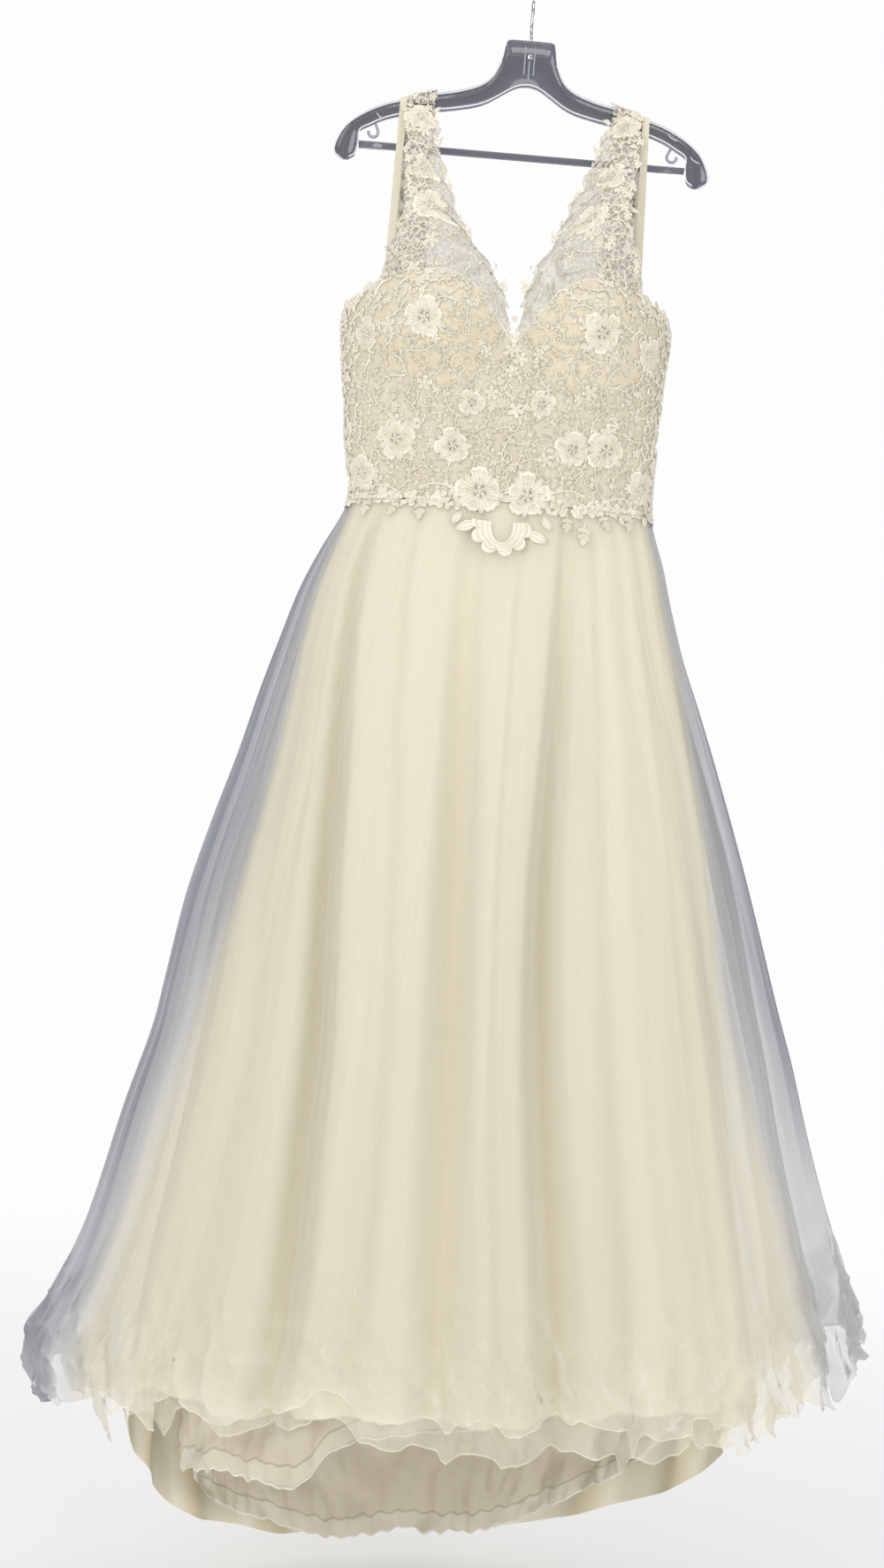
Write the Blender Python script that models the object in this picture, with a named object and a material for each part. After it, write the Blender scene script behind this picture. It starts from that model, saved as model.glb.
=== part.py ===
"""Sleeveless lace-and-tulle wedding dress, hung by its straps on a clear hanger.

Units are metres and +Z is up. The dress faces -Y, and left and right are the wearer's, so left is +X.
The origin is the point of the hook that rests on a rail, and a drop is a distance below it.
A turn is an angle round the body in degrees: 0 is the centre front, 90 the left side seam, 180 the centre back.
"""

import math
from collections import namedtuple

import bmesh
import bpy
from mathutils import Vector

for leftover in list(bpy.data.objects):
    bpy.data.objects.remove(leftover, do_unlink=True)

# Driving dimensions
NECK_TOP = 0.044  # drop of the top of the hanger's neck
WAIST = 0.589  # drop of the waist seam
BACK_V_POINT = 0.456  # drop of the back neckline's lowest point
SEAM_GAP = 0.0003
BODICE_WALL = 0.002
STRAP_WALL = 0.0012
TULLE_WALL = 0.0012
SATIN_WALL = 0.0015
LINING_WALL = 0.0012
LAYER_GAP = 0.0004  # between two skirt layers at the waist seam
LACE_STANDS_OFF = 0.0015  # from the cloth under it to the back of an applique's petals
HEART_STANDS_OFF = 0.0006  # and to the back of its stitched middle
HANGER_TILT = math.radians(1.4)  # the left arm hangs lower
BODICE_POWER = 2.3  # a flatter front and back than an ellipse, which is 2
SKIRT_POWER = 2.0

# Half-widths to the wearer's right (-X) and left (+X), and depths to the front (-Y) and back (+Y)
Section = namedtuple("Section", "drop right left front back")
BODICE = [
    Section(0.305, 0.168, 0.156, 0.058, 0.058),
    Section(0.334, 0.180, 0.166, 0.066, 0.066),
    Section(0.359, 0.195, 0.179, 0.070, 0.070),
    Section(0.384, 0.199, 0.181, 0.071, 0.072),
    Section(0.419, 0.197, 0.178, 0.069, 0.070),
    Section(0.469, 0.191, 0.174, 0.066, 0.066),
    Section(0.524, 0.186, 0.172, 0.063, 0.063),
    Section(0.589, 0.179, 0.172, 0.064, 0.063),
    Section(0.640, 0.204, 0.190, 0.078, 0.080),
]
TULLE = [
    Section(0.560, 0.179, 0.172, 0.064, 0.063),
    Section(0.589, 0.180, 0.173, 0.065, 0.064),
    Section(0.615, 0.191, 0.180, 0.072, 0.073),
    Section(0.644, 0.207, 0.190, 0.082, 0.086),
    Section(0.694, 0.230, 0.203, 0.098, 0.106),
    Section(0.754, 0.250, 0.221, 0.114, 0.126),
    Section(0.814, 0.269, 0.244, 0.128, 0.144),
    Section(0.889, 0.290, 0.271, 0.144, 0.164),
    Section(0.974, 0.317, 0.300, 0.160, 0.185),
    Section(1.056, 0.340, 0.326, 0.176, 0.205),
    Section(1.151, 0.358, 0.355, 0.194, 0.227),
    Section(1.209, 0.369, 0.374, 0.204, 0.239),
    Section(1.300, 0.396, 0.400, 0.220, 0.257),
    Section(1.430, 0.430, 0.442, 0.240, 0.281),
    Section(1.511, 0.459, 0.466, 0.250, 0.295),
    Section(1.585, 0.488, 0.476, 0.256, 0.306),
    Section(1.684, 0.456, 0.466, 0.260, 0.318),
    Section(1.860, 0.440, 0.430, 0.260, 0.326),
]
SATIN = [
    Section(0.560, 0.1760, 0.1690, 0.0610, 0.0600),
    Section(0.589, 0.1765, 0.1695, 0.0615, 0.0605),
    Section(0.615, 0.184, 0.175, 0.066, 0.066),
    Section(0.644, 0.194, 0.184, 0.073, 0.076),
    Section(0.694, 0.210, 0.195, 0.085, 0.092),
    Section(0.754, 0.223, 0.211, 0.097, 0.108),
    Section(0.814, 0.232, 0.225, 0.108, 0.122),
    Section(0.889, 0.245, 0.241, 0.120, 0.138),
    Section(0.974, 0.262, 0.259, 0.134, 0.156),
    Section(1.056, 0.281, 0.272, 0.147, 0.172),
    Section(1.151, 0.303, 0.283, 0.161, 0.190),
    Section(1.300, 0.326, 0.305, 0.179, 0.214),
    Section(1.430, 0.349, 0.325, 0.193, 0.232),
    Section(1.511, 0.362, 0.339, 0.199, 0.242),
    Section(1.616, 0.370, 0.358, 0.204, 0.250),
    Section(1.744, 0.364, 0.328, 0.204, 0.256),
    Section(1.880, 0.330, 0.300, 0.200, 0.258),
]

# Upper edge of the bodice's opaque cloth: turn against drop, from the centre front round to the centre back
BODICE_EDGE_LEFT = [
    (0, 0.412), (8, 0.376), (16, 0.350), (25, 0.336), (34, 0.332), (45, 0.335), (56, 0.342),
    (68, 0.357), (80, 0.374), (90, 0.380), (102, 0.377), (118, 0.362), (132, 0.349), (142, 0.346),
    (152, 0.371), (163, 0.415), (172, 0.443), (180, 0.456),
]
BODICE_EDGE_RIGHT = [
    (0, 0.412), (7, 0.378), (14, 0.350), (22, 0.335), (31, 0.330), (42, 0.333), (54, 0.340),
    (66, 0.355), (79, 0.370), (90, 0.377), (102, 0.374), (118, 0.360), (132, 0.348), (142, 0.345),
    (152, 0.370), (163, 0.414), (172, 0.443), (180, 0.456),
]

# Seams of the bodice, as turns: centre front panel, cup panels, side panels, back panels
PRINCESS_SEAM = 17
SIDE_FRONT_SEAM = 62
SIDE_BACK_SEAM = 118
FRONT_COLUMNS, CUP_COLUMNS, BACK_COLUMNS = 9, 13, 10
BODICE_ROWS = 9
CENTRE_BACK_GAP = 0.35  # degrees left open on each side of the centre back for the buttoned opening

# Moulded cups, each a dome on the bodice
Cup = namedtuple("Cup", "x drop half_width half_height rise")
CUPS = [Cup(-0.097, 0.385, 0.080, 0.078, 0.030), Cup(0.096, 0.382, 0.080, 0.078, 0.030)]

# Folds of the skirt, each a valley: its turns at the waist, knee and hem, its half-width in degrees,
# and how deep it lies below the waist seam, at the knee and at the hem
Fold = namedtuple("Fold", "waist knee hem half_width shallow middle deep")
FOLDS = [
    Fold(-75.0, -64.0, -58.0, 5.5, 0.003, 0.012, 0.024),
    Fold(-64.0, -47.5, -42.0, 4.5, 0.003, 0.012, 0.022),
    Fold(-52.0, -33.5, -25.5, 4.0, 0.010, 0.034, 0.042),
    Fold(-33.0, -19.5, -14.5, 3.6, 0.005, 0.010, 0.020),
    Fold(-10.0, -5.5, -2.0, 5.8, 0.007, 0.030, 0.036),
    Fold(8.0, 4.2, 7.0, 2.6, 0.003, 0.008, 0.012),
    Fold(25.0, 13.0, 14.5, 4.6, 0.008, 0.034, 0.040),
    Fold(37.0, 27.0, 25.5, 3.8, 0.003, 0.008, 0.018),
    Fold(48.0, 39.0, 37.0, 4.4, 0.002, 0.005, 0.014),
    Fold(60.0, 52.0, 51.0, 5.2, 0.003, 0.011, 0.022),
    Fold(74.0, 68.0, 67.0, 6.0, 0.003, 0.012, 0.026),
    Fold(101.0, 103.0, 106.0, 8.0, 0.004, 0.016, 0.034),
    Fold(124.0, 126.0, 128.0, 8.5, 0.005, 0.022, 0.040),
    Fold(148.0, 149.0, 151.0, 8.0, 0.005, 0.020, 0.036),
    Fold(170.0, 170.5, 172.0, 8.0, 0.006, 0.026, 0.042),
    Fold(193.0, 193.0, 193.0, 8.5, 0.006, 0.024, 0.038),
    Fold(216.0, 215.0, 214.0, 8.5, 0.005, 0.022, 0.040),
    Fold(240.0, 238.5, 236.0, 8.5, 0.004, 0.018, 0.036),
    Fold(259.0, 258.0, 256.0, 6.5, 0.004, 0.014, 0.028),
]
FOLDS_START = WAIST + 0.004
FOLDS_SHALLOW_AT = WAIST + 0.050
KNEE = 1.030
HEM_LEVEL = 1.540
SKIRT_ROWS = (WAIST + 0.0003, 0.615, 0.655, 0.740, 0.880, 1.080, 1.340)  # drops above the hem's own row

# Hems: turn against drop, all round from the right side seam
TULLE_HEM = [
    (-90, 1.608), (-62, 1.630), (-32, 1.594), (0, 1.584), (30, 1.592), (60, 1.578), (90, 1.524),
    (115, 1.572), (145, 1.715), (180, 1.800), (213, 1.770), (243, 1.680), (270, 1.608),
]
UNDER_TULLE_HEM = [
    (-90, 1.600), (-60, 1.628), (-28, 1.612), (0, 1.622), (28, 1.624), (60, 1.594), (90, 1.538),
    (115, 1.592), (145, 1.725), (180, 1.790), (213, 1.770), (243, 1.690), (270, 1.600),
]
SATIN_HEM = [
    (-90, 1.690), (-60, 1.622), (-32, 1.616), (0, 1.600), (32, 1.592), (60, 1.592), (90, 1.612),
    (111, 1.684), (146, 1.803), (174, 1.854), (195, 1.861), (213, 1.857), (235, 1.822), (270, 1.690),
]
LINING_HEM = [
    (-90, 1.712), (-60, 1.706), (-31, 1.698), (-24, 1.656), (0, 1.622), (30, 1.598), (60, 1.606),
    (90, 1.603), (111, 1.674), (146, 1.793), (174, 1.844), (195, 1.850), (213, 1.846), (235, 1.811),
    (270, 1.712),
]

# The hanger's half outline as pairs of points, upper edge and lower edge: distances to the side and down
Pair = namedtuple("Pair", "top_x top_down low_x low_down")
HANGER_HALF = [
    Pair(0.000, 0.000, 0.000, 0.054),
    Pair(0.014, 0.000, 0.008, 0.055),
    Pair(0.026, 0.001, 0.016, 0.058),
    Pair(0.029, 0.008, 0.024, 0.063),
    Pair(0.032, 0.024, 0.033, 0.069),
    Pair(0.041, 0.043, 0.044, 0.076),
    Pair(0.055, 0.055, 0.058, 0.082),
    Pair(0.080, 0.064, 0.084, 0.088),
    Pair(0.110, 0.0705, 0.111, 0.0925),
    Pair(0.140, 0.079, 0.142, 0.099),
    Pair(0.165, 0.087, 0.163, 0.106),
    Pair(0.188, 0.099, 0.178, 0.114),
    Pair(0.206, 0.114, 0.190, 0.122),
    Pair(0.216, 0.133, 0.1905, 0.136),
    Pair(0.217, 0.146, 0.193, 0.149),
    Pair(0.208, 0.154, 0.200, 0.1545),
]
HANGER_THICK, HANGER_WEB, HANGER_RIM = 0.011, 0.003, 0.0028
BAR_DOWN, BAR_HALF_LENGTH, BAR_HALF_HEIGHT, BAR_HALF_THICK = 0.1355, 0.1898, 0.004, 0.0035

# Front straps: outer and inner edge as distances to the side, and how far they stand to the front
StrapRow = namedtuple("StrapRow", "drop outer inner front")
LEFT_STRAP = [
    StrapRow(0.127, 0.1325, 0.1000, 0.0074),
    StrapRow(0.160, 0.1320, 0.0895, 0.0190),
    StrapRow(0.193, 0.1300, 0.0785, 0.0320),
    StrapRow(0.220, 0.1258, 0.0690, 0.0430),
    StrapRow(0.249, 0.1241, 0.0555, 0.0550),
    StrapRow(0.279, 0.1242, 0.0440, 0.0680),
    StrapRow(0.305, 0.1268, 0.0335, 0.0780),
    StrapRow(0.324, 0.1330, 0.0262, 0.0830),
    StrapRow(0.340, 0.1440, 0.0205, 0.0860),
]
RIGHT_STRAP = [
    StrapRow(0.127, 0.1380, 0.1070, 0.0074),
    StrapRow(0.160, 0.1375, 0.1040, 0.0190),
    StrapRow(0.193, 0.1362, 0.0965, 0.0320),
    StrapRow(0.220, 0.1336, 0.0890, 0.0430),
    StrapRow(0.249, 0.1327, 0.0785, 0.0550),
    StrapRow(0.279, 0.1342, 0.0660, 0.0680),
    StrapRow(0.305, 0.1370, 0.0520, 0.0780),
    StrapRow(0.324, 0.1450, 0.0417, 0.0830),
    StrapRow(0.340, 0.1600, 0.0350, 0.0860),
]
STRAP_FOOT_TURNS = (57.0, 1.2)

# Hanging ribbons, narrow loops from inside the waist seam up over the hanger's arms
RibbonEnd = namedtuple("RibbonEnd", "side x_top foot_turn")
RIBBONS = [RibbonEnd("left", 0.1385, 55.0), RibbonEnd("right", -0.1438, -57.0)]
RIBBON_WIDTH, RIBBON_WALL = 0.0085, 0.001
RIBBON_FOOT, RIBBON_STITCHED = 0.520, 0.545  # drops where a ribbon meets the bodice and where it ends


def mixed(a, b, share):
    return a + (b - a) * share


def eased(share):
    share = min(1.0, max(0.0, share))
    return share * share * (3 - 2 * share)


def curve_through(xs, ys, at):
    """The value at one place of a smooth curve through the points (xs, ys), held flat past its ends."""
    if at <= xs[0]:
        return ys[0]
    if at >= xs[-1]:
        return ys[-1]
    i = next(k for k in range(len(xs) - 1) if at <= xs[k + 1])

    def slope(k):
        if k in (0, len(xs) - 1):
            return 0.0 if len(xs) < 3 else (ys[min(k + 1, len(xs) - 1)] - ys[max(k - 1, 0)]) / (
                xs[min(k + 1, len(xs) - 1)] - xs[max(k - 1, 0)]
            )
        return (ys[k + 1] - ys[k - 1]) / (xs[k + 1] - xs[k - 1])

    span = xs[i + 1] - xs[i]
    t = (at - xs[i]) / span
    return (
        ys[i] * (1 + 2 * t) * (1 - t) ** 2
        + ys[i + 1] * t * t * (3 - 2 * t)
        + span * slope(i) * t * (1 - t) ** 2
        + span * slope(i + 1) * t * t * (t - 1)
    )


def section_at(sections, drop):
    drops = [s.drop for s in sections]
    columns = list(zip(*sections))[1:]
    return Section(drop, *(curve_through(drops, column, drop) for column in columns))


def from_table(table, at):
    return curve_through([row[0] for row in table], [row[1] for row in table], at)


def round_table(table, turn):
    """A table that goes all round, read at any turn."""
    return from_table(table, (turn + 90) % 360 - 90)


def on_ring(section, turn, power):
    """The point of a section at a turn."""
    s, c = math.sin(math.radians(turn)), math.cos(math.radians(turn))
    half = section.left if s > 0 else section.right
    depth = section.front if c > 0 else section.back
    reach = max(0.0, 1 - abs(s) ** power) ** (1 / power)
    return Vector((half * s, -depth * math.copysign(reach, c), -section.drop))


def ring_normal(section, turn, power):
    """The outward direction of a section at a turn, level."""
    step = 0.5
    along = on_ring(section, turn + step, power) - on_ring(section, turn - step, power)
    return Vector((along.y, -along.x, 0)).normalized()


def bodice_point(turn, drop):
    """The bodice's outer surface, cups included."""
    section = section_at(BODICE, drop)
    point = on_ring(section, turn, BODICE_POWER)
    if math.cos(math.radians(turn)) <= 0:
        return point
    rise = 0.0
    for cup in CUPS:
        across = (point.x - cup.x) / cup.half_width
        up = (drop - cup.drop) / cup.half_height
        away = across * across + up * up
        if away < 1:
            rise = max(rise, cup.rise * (1 - away) ** 1.15)
    return point + rise * Vector((0, -1, 0))


def fold_turn(fold, drop):
    """Where a fold runs at a drop."""
    return curve_through([WAIST, KNEE, HEM_LEVEL], [fold.waist, fold.knee, fold.hem], drop)


def fold_depth(turn, drop):
    """How far the folds draw the cloth in at a place."""
    depth = 0.0
    for fold in FOLDS:
        away = (turn - fold_turn(fold, drop) + 180) % 360 - 180
        if abs(away) >= fold.half_width:
            continue
        deep = curve_through(
            [FOLDS_START, FOLDS_SHALLOW_AT, KNEE, HEM_LEVEL],
            [0.0, fold.shallow, fold.middle, fold.deep],
            drop,
        )
        depth += deep * 0.5 * (1 + math.cos(math.pi * away / fold.half_width))
    return depth


def between(inner, outer, share):
    return Section(*(mixed(a, b, share) for a, b in zip(inner, outer)))


def tulle_section(drop):
    return section_at(TULLE, drop)


def under_tulle_section(drop):
    """The second tulle layer hangs between the satin and the outer tulle, nearer the outer one."""
    share = 0.5 + 0.14 * eased((drop - WAIST) / 0.5)
    return between(section_at(SATIN, drop), section_at(TULLE, drop), share)


def satin_section(drop):
    return section_at(SATIN, drop)


def lining_section(drop):
    """The lining is a narrower tube, inside the deepest folds of the satin."""
    folds = curve_through(
        [FOLDS_START, FOLDS_SHALLOW_AT, KNEE, HEM_LEVEL],
        [0.0] + [max(column) for column in list(zip(*FOLDS))[4:]],
        drop,
    )
    inset = SATIN_WALL + 5 * LAYER_GAP + folds + 0.005 * eased((drop - WAIST) / 0.05)
    s = section_at(SATIN, drop)
    return Section(drop, s.right - inset, s.left - inset, s.front - inset, s.back - inset)


def row_drop(hem, turn, row):
    """The drop of a row of a skirt layer, where the last row is its hem and rows between are allowed."""
    bottom = round_table(hem, turn)
    drops = SKIRT_ROWS + (bottom,)
    below = min(max(int(row), 0), len(drops) - 2)
    return mixed(drops[below], drops[below + 1], row - below)


def skirt_surface(layer):
    """A function of (turn, row) for the outer surface of a skirt layer."""

    def surface(turn, row):
        drop = row_drop(layer.hem, turn, row)
        drop += layer.hem_wave * math.sin(math.radians(9 * turn + 40)) * eased((drop - KNEE) / 0.5)
        if not layer.folded:
            section = layer.section(drop)
            outwards = ring_normal(section, turn, SKIRT_POWER)
            return on_ring(section, turn, SKIRT_POWER) - outwards * lining_ripple(turn, drop)
        outer = tulle_section(drop)
        outwards = ring_normal(outer, turn, SKIRT_POWER)
        inset = inset_from(outer, layer.section(drop), turn)
        return on_ring(outer, turn, SKIRT_POWER) - outwards * (inset + fold_depth(turn, drop))

    return surface


def inset_from(outer, inner, turn):
    """How far one section lies inside another, blended from the sides to the front and back."""
    s, c = math.sin(math.radians(turn)), math.cos(math.radians(turn))
    sideways = outer.left - inner.left if s > 0 else outer.right - inner.right
    lengthways = outer.front - inner.front if c > 0 else outer.back - inner.back
    return sideways * s * s + lengthways * c * c


def lining_ripple(turn, drop):
    """The lining has only soft waves, which grow towards its hem."""
    return 0.007 * (1 + math.sin(math.radians(7 * turn + 25))) * eased((drop - 0.8) / 0.8)


def material(name, colour, roughness, metallic=0.0, alpha=1.0):
    made = bpy.data.materials.new(name)
    made.use_nodes = True
    shader = made.node_tree.nodes["Principled BSDF"]
    shader.inputs["Base Color"].default_value = (*colour, 1.0)
    shader.inputs["Roughness"].default_value = roughness
    shader.inputs["Metallic"].default_value = metallic
    shader.inputs["Alpha"].default_value = alpha
    return made


LACE = material("ivory corded lace", (0.84, 0.79, 0.67), 0.6)
BODICE_CLOTH = material("ivory bodice cloth", (0.78, 0.72, 0.58), 0.7)
SHEER = material("sheer ivory tulle", (0.80, 0.78, 0.73), 0.7, alpha=0.5)
SATIN_CLOTH = material("ivory satin", (0.83, 0.79, 0.66), 0.35)
LINING_CLOTH = material("ivory lining", (0.74, 0.69, 0.58), 0.4)
CLEAR_PLASTIC = material("clear smoked plastic", (0.45, 0.46, 0.52), 0.1, alpha=0.45)
METAL = material("chromed wire", (0.75, 0.75, 0.77), 0.15, metallic=1.0)


def add_object(name, mesh, finish):
    mesh.materials.append(finish)
    mesh.shade_smooth()
    mesh.set_sharp_from_angle(angle=math.radians(40))
    made = bpy.data.objects.new(name, mesh)
    bpy.context.scene.collection.objects.link(made)
    return made


def solid(name, points, faces, finish):
    """A closed solid from points and faces, with its faces turned outwards."""
    mesh = bpy.data.meshes.new(name)
    mesh.from_pydata([tuple(p) for p in points], [], faces)
    bm = bmesh.new()
    bm.from_mesh(mesh)
    bmesh.ops.recalc_face_normals(bm, faces=bm.faces)
    bm.to_mesh(mesh)
    bm.free()
    return add_object(name, mesh, finish)


def grid_faces(rows, columns, first=0):
    """Triangles of a grid of points that is stored row by row, split the same way in every layer."""
    faces = []
    for r in range(rows - 1):
        for c in range(columns - 1):
            near, far = first + r * columns + c, first + (r + 1) * columns + c
            faces += [(near, near + 1, far + 1), (near, far + 1, far)]
    return faces


def border(rows, columns):
    """The indices round the edge of a grid, in order."""
    top = list(range(columns))
    right = [r * columns + columns - 1 for r in range(1, rows)]
    bottom = [(rows - 1) * columns + c for c in range(columns - 2, -1, -1)]
    left = [r * columns for r in range(rows - 2, 0, -1)]
    return top + right + bottom + left


def slab(name, outer, inner, finish):
    """A closed sheet between two grids of points, each a list of rows."""
    rows, columns = len(outer), len(outer[0])
    points = [p for row in outer for p in row] + [p for row in inner for p in row]
    count = rows * columns
    faces = grid_faces(rows, columns)
    faces += [tuple(reversed(f)) for f in grid_faces(rows, columns, count)]
    edge = border(rows, columns)
    faces += [(a, b, b + count, a + count) for a, b in zip(edge, edge[1:] + edge[:1])]
    return solid(name, points, faces, finish)


def normal_at(surface, u, v, step_u, step_v):
    """The direction a surface faces: outwards where u grows with the turn and v grows downwards."""
    across = surface(u + step_u, v) - surface(u - step_u, v)
    down = surface(u, v + step_v) - surface(u, v - step_v)
    return down.cross(across).normalized()


def cloth_wall(name, surface, columns, rows, wall, finish, step_u=0.4, step_v=0.004):
    """A wall of cloth: columns gives the u of each column as a function of v, rows the values of v."""
    outer = [[surface(column(v), v) for column in columns] for v in rows]
    inner = [
        [outer[r][c] - wall * normal_at(surface, column(v), v, step_u, step_v)
         for c, column in enumerate(columns)]
        for r, v in enumerate(rows)
    ]
    return slab(name, outer, inner, finish)


def skirt_columns(layer, first_turn, last_turn):
    """Columns for a skirt panel, which follow its folds from the waist to the hem."""

    def follows(fold, mark):
        return lambda row: fold_turn(fold, row_drop(layer.hem, fold.hem, row)) + mark * fold.half_width

    def fixed(turn):
        return lambda row: turn

    def shared(a, b, part):
        return lambda row: mixed(a(row), b(row), part)

    edge = math.degrees(SEAM_GAP / 2 / 0.060)
    lines = [fixed(first_turn + edge)]
    for fold in FOLDS:
        if layer.folded and first_turn < fold.waist < last_turn:
            marks = layer.deep_marks if fold.middle > DEEP_FOLD else (-1, 0, 1)
            lines += [follows(fold, mark) for mark in marks]
    lines.append(fixed(last_turn - edge))
    columns = []
    for a, b in zip(lines, lines[1:]):
        parts = max(1, math.ceil((b(3) - a(3)) / layer.most_apart))
        columns += [shared(a, b, k / parts) for k in range(parts)]
    return columns + [lines[-1]]


def levels(count):
    """Even shares from 0 to 1."""
    return [k / (count - 1) for k in range(count)]


DEEP_FOLD = 0.028
Layer = namedtuple("Layer", "name section hem hem_wave wall folded deep_marks most_apart finish")
LAYERS = [
    Layer("tulle", tulle_section, TULLE_HEM, 0.006, TULLE_WALL, True, (-1, -0.5, 0, 0.5, 1), 11, SHEER),
    Layer("under_tulle", under_tulle_section, UNDER_TULLE_HEM, 0.006, TULLE_WALL, True, (-1, 0, 1), 13,
          SHEER),
    Layer("satin", satin_section, SATIN_HEM, 0.004, SATIN_WALL, True, (-1, 0, 1), 13, SATIN_CLOTH),
    Layer("lining", lining_section, LINING_HEM, 0.003, LINING_WALL, False, (), 12, LINING_CLOTH),
]


def make_skirts():
    for layer in LAYERS:
        surface = skirt_surface(layer)
        rows = range(len(SKIRT_ROWS) + 1)
        for side, first, last in (("front", -90, 90), ("back", 90, 270)):
            columns = skirt_columns(layer, first, last)
            cloth_wall(f"{layer.name}_{side}", surface, columns, rows, layer.wall, layer.finish, 0.4, 0.02)


def bodice_edge(turn):
    """Drop of the bodice's upper edge at a turn from -180 to 180."""
    return from_table(BODICE_EDGE_LEFT if turn >= 0 else BODICE_EDGE_RIGHT, abs(turn))


def panel_turns(first, last, count):
    """The turns of a bodice panel's columns, with half a seam's gap left at each side."""
    gap = math.degrees(SEAM_GAP / 2 / 0.060)
    return [mixed(first + gap, last - gap, k / (count - 1)) for k in range(count)]


def make_bodice():
    """Seven panels: centre front, two cup panels, two sides and two backs that meet at the buttons."""

    def surface(turn, share):
        return bodice_point(turn, mixed(bodice_edge(turn), WAIST - SEAM_GAP, share))

    def panel(name, first, last, columns, rows):
        lines = [lambda v, t=t: t for t in panel_turns(first, last, columns)]
        cloth_wall(name, surface, lines, levels(rows), BODICE_WALL, BODICE_CLOTH)

    panel("bodice_front", -PRINCESS_SEAM, PRINCESS_SEAM, FRONT_COLUMNS, BODICE_ROWS)
    for side, sign in (("left", 1), ("right", -1)):
        spans = (
            ("cup_panel", PRINCESS_SEAM, SIDE_FRONT_SEAM, CUP_COLUMNS, BODICE_ROWS),
            ("side", SIDE_FRONT_SEAM, SIDE_BACK_SEAM, 8, BODICE_ROWS),
            ("bodice_back", SIDE_BACK_SEAM, 180 - CENTRE_BACK_GAP, BACK_COLUMNS, BODICE_ROWS),
        )
        for name, near, far, columns, rows in spans:
            first, last = sorted((sign * near, sign * far))
            panel(f"{name}_{side}", first, last, columns, rows)


def front_strap_surface(sign):
    """(share across from the outer edge, share up) to a point of a sheer front strap.

    Its foot follows the upper edge of the bodice to the neckline's point, and its top meets the shoulder seam.
    """
    table = LEFT_STRAP if sign > 0 else RIGHT_STRAP
    drops, outers, inners, fronts = zip(*table)

    def surface(across, up):
        turn = sign * mixed(*STRAP_FOOT_TURNS, across)
        foot = bodice_point(turn, bodice_edge(turn) - 3 * SEAM_GAP)
        drop = mixed(-foot.z, drops[0], up)
        hanging = eased(up * 2.4)
        x = sign * mixed(curve_through(drops, outers, drop), curve_through(drops, inners, drop), across)
        y = -curve_through(drops, fronts, drop)
        edge = 2 * eased(across * 1.4 - 0.2) - 1
        scallop = 0.0022 * math.sin(up * 46) * edge * eased(up * 6) * eased((1 - up) * 8)
        return Vector((mixed(foot.x, x, hanging) - sign * scallop, mixed(foot.y, y, hanging), -drop))

    return surface


def arm_top(x):
    """Drop of the hanger's upper edge at x, with the hanger's tilt."""
    def tilted(pair, side):
        return on_hanger(side * pair.top_x, 0, pair.top_down)

    side = math.copysign(1, x)
    edge = [tilted(pair, side) for pair in HANGER_HALF[:14]]
    near, far = next((a, b) for a, b in zip(edge, edge[1:]) if abs(a.x) <= abs(x) <= abs(b.x))
    return -mixed(near.z, far.z, (x - near.x) / (far.x - near.x))


def over_the_arm(x, clear):
    """Points (y, drop) of a line that passes over the hanger's arm from front to back, clear of its corners."""
    corner, crest = HANGER_THICK / 2, arm_top(x)
    points = [(-corner - clear, crest + 0.012)]
    for step in range(4):
        a = math.pi / 2 * step / 3
        points.append((-corner - clear * math.cos(a), crest - clear * math.sin(a)))
    points += [(-y, drop) for y, drop in reversed(points)]
    return points


def strip(name, lines, wall, finish):
    """A closed ribbon of cloth: lines are its lengthwise lines of points, and the wall lies on its far side."""
    outer = [list(row) for row in zip(*lines)]
    inner = []
    for r, row in enumerate(outer):
        ahead, behind = outer[min(r + 1, len(outer) - 1)], outer[max(r - 1, 0)]
        along = [(a - b).normalized() for a, b in zip(ahead, behind)]
        across = [row[min(c + 1, len(row) - 1)] - row[max(c - 1, 0)] for c in range(len(row))]
        inner.append([p + wall * l.cross(w).normalized() for p, l, w in zip(row, along, across)])
    slab(name, outer, inner, finish)


def back_strap_lines(sign):
    """The back strap: over the arm from the shoulder seam in front of it, then down to the back."""
    lines = []
    table = LEFT_STRAP if sign > 0 else RIGHT_STRAP
    foot_turns = panel_turns(SIDE_BACK_SEAM, 180 - CENTRE_BACK_GAP, BACK_COLUMNS)[1:5]
    for k, foot_turn in enumerate(foot_turns):
        x_top = sign * mixed(table[0].outer, table[0].inner, k / (len(foot_turns) - 1))
        turn = sign * foot_turn
        foot = bodice_point(turn, bodice_edge(turn) - 3 * SEAM_GAP)
        over = over_the_arm(x_top, STRAP_WALL + SEAM_GAP)
        path = [Vector((x_top, y, -drop)) for y, drop in over]
        path[0].y, path[0].z = -table[0].front, -table[0].drop + 4 * SEAM_GAP
        start = path[-1]
        for step in range(1, 9):
            s = step / 8
            path.append(Vector((
                mixed(start.x, foot.x, s), mixed(start.y, foot.y, s ** 1.15), mixed(start.z, foot.z, s)
            )))
        lines.append(path)
    return lines if sign < 0 else list(reversed(lines))


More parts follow.
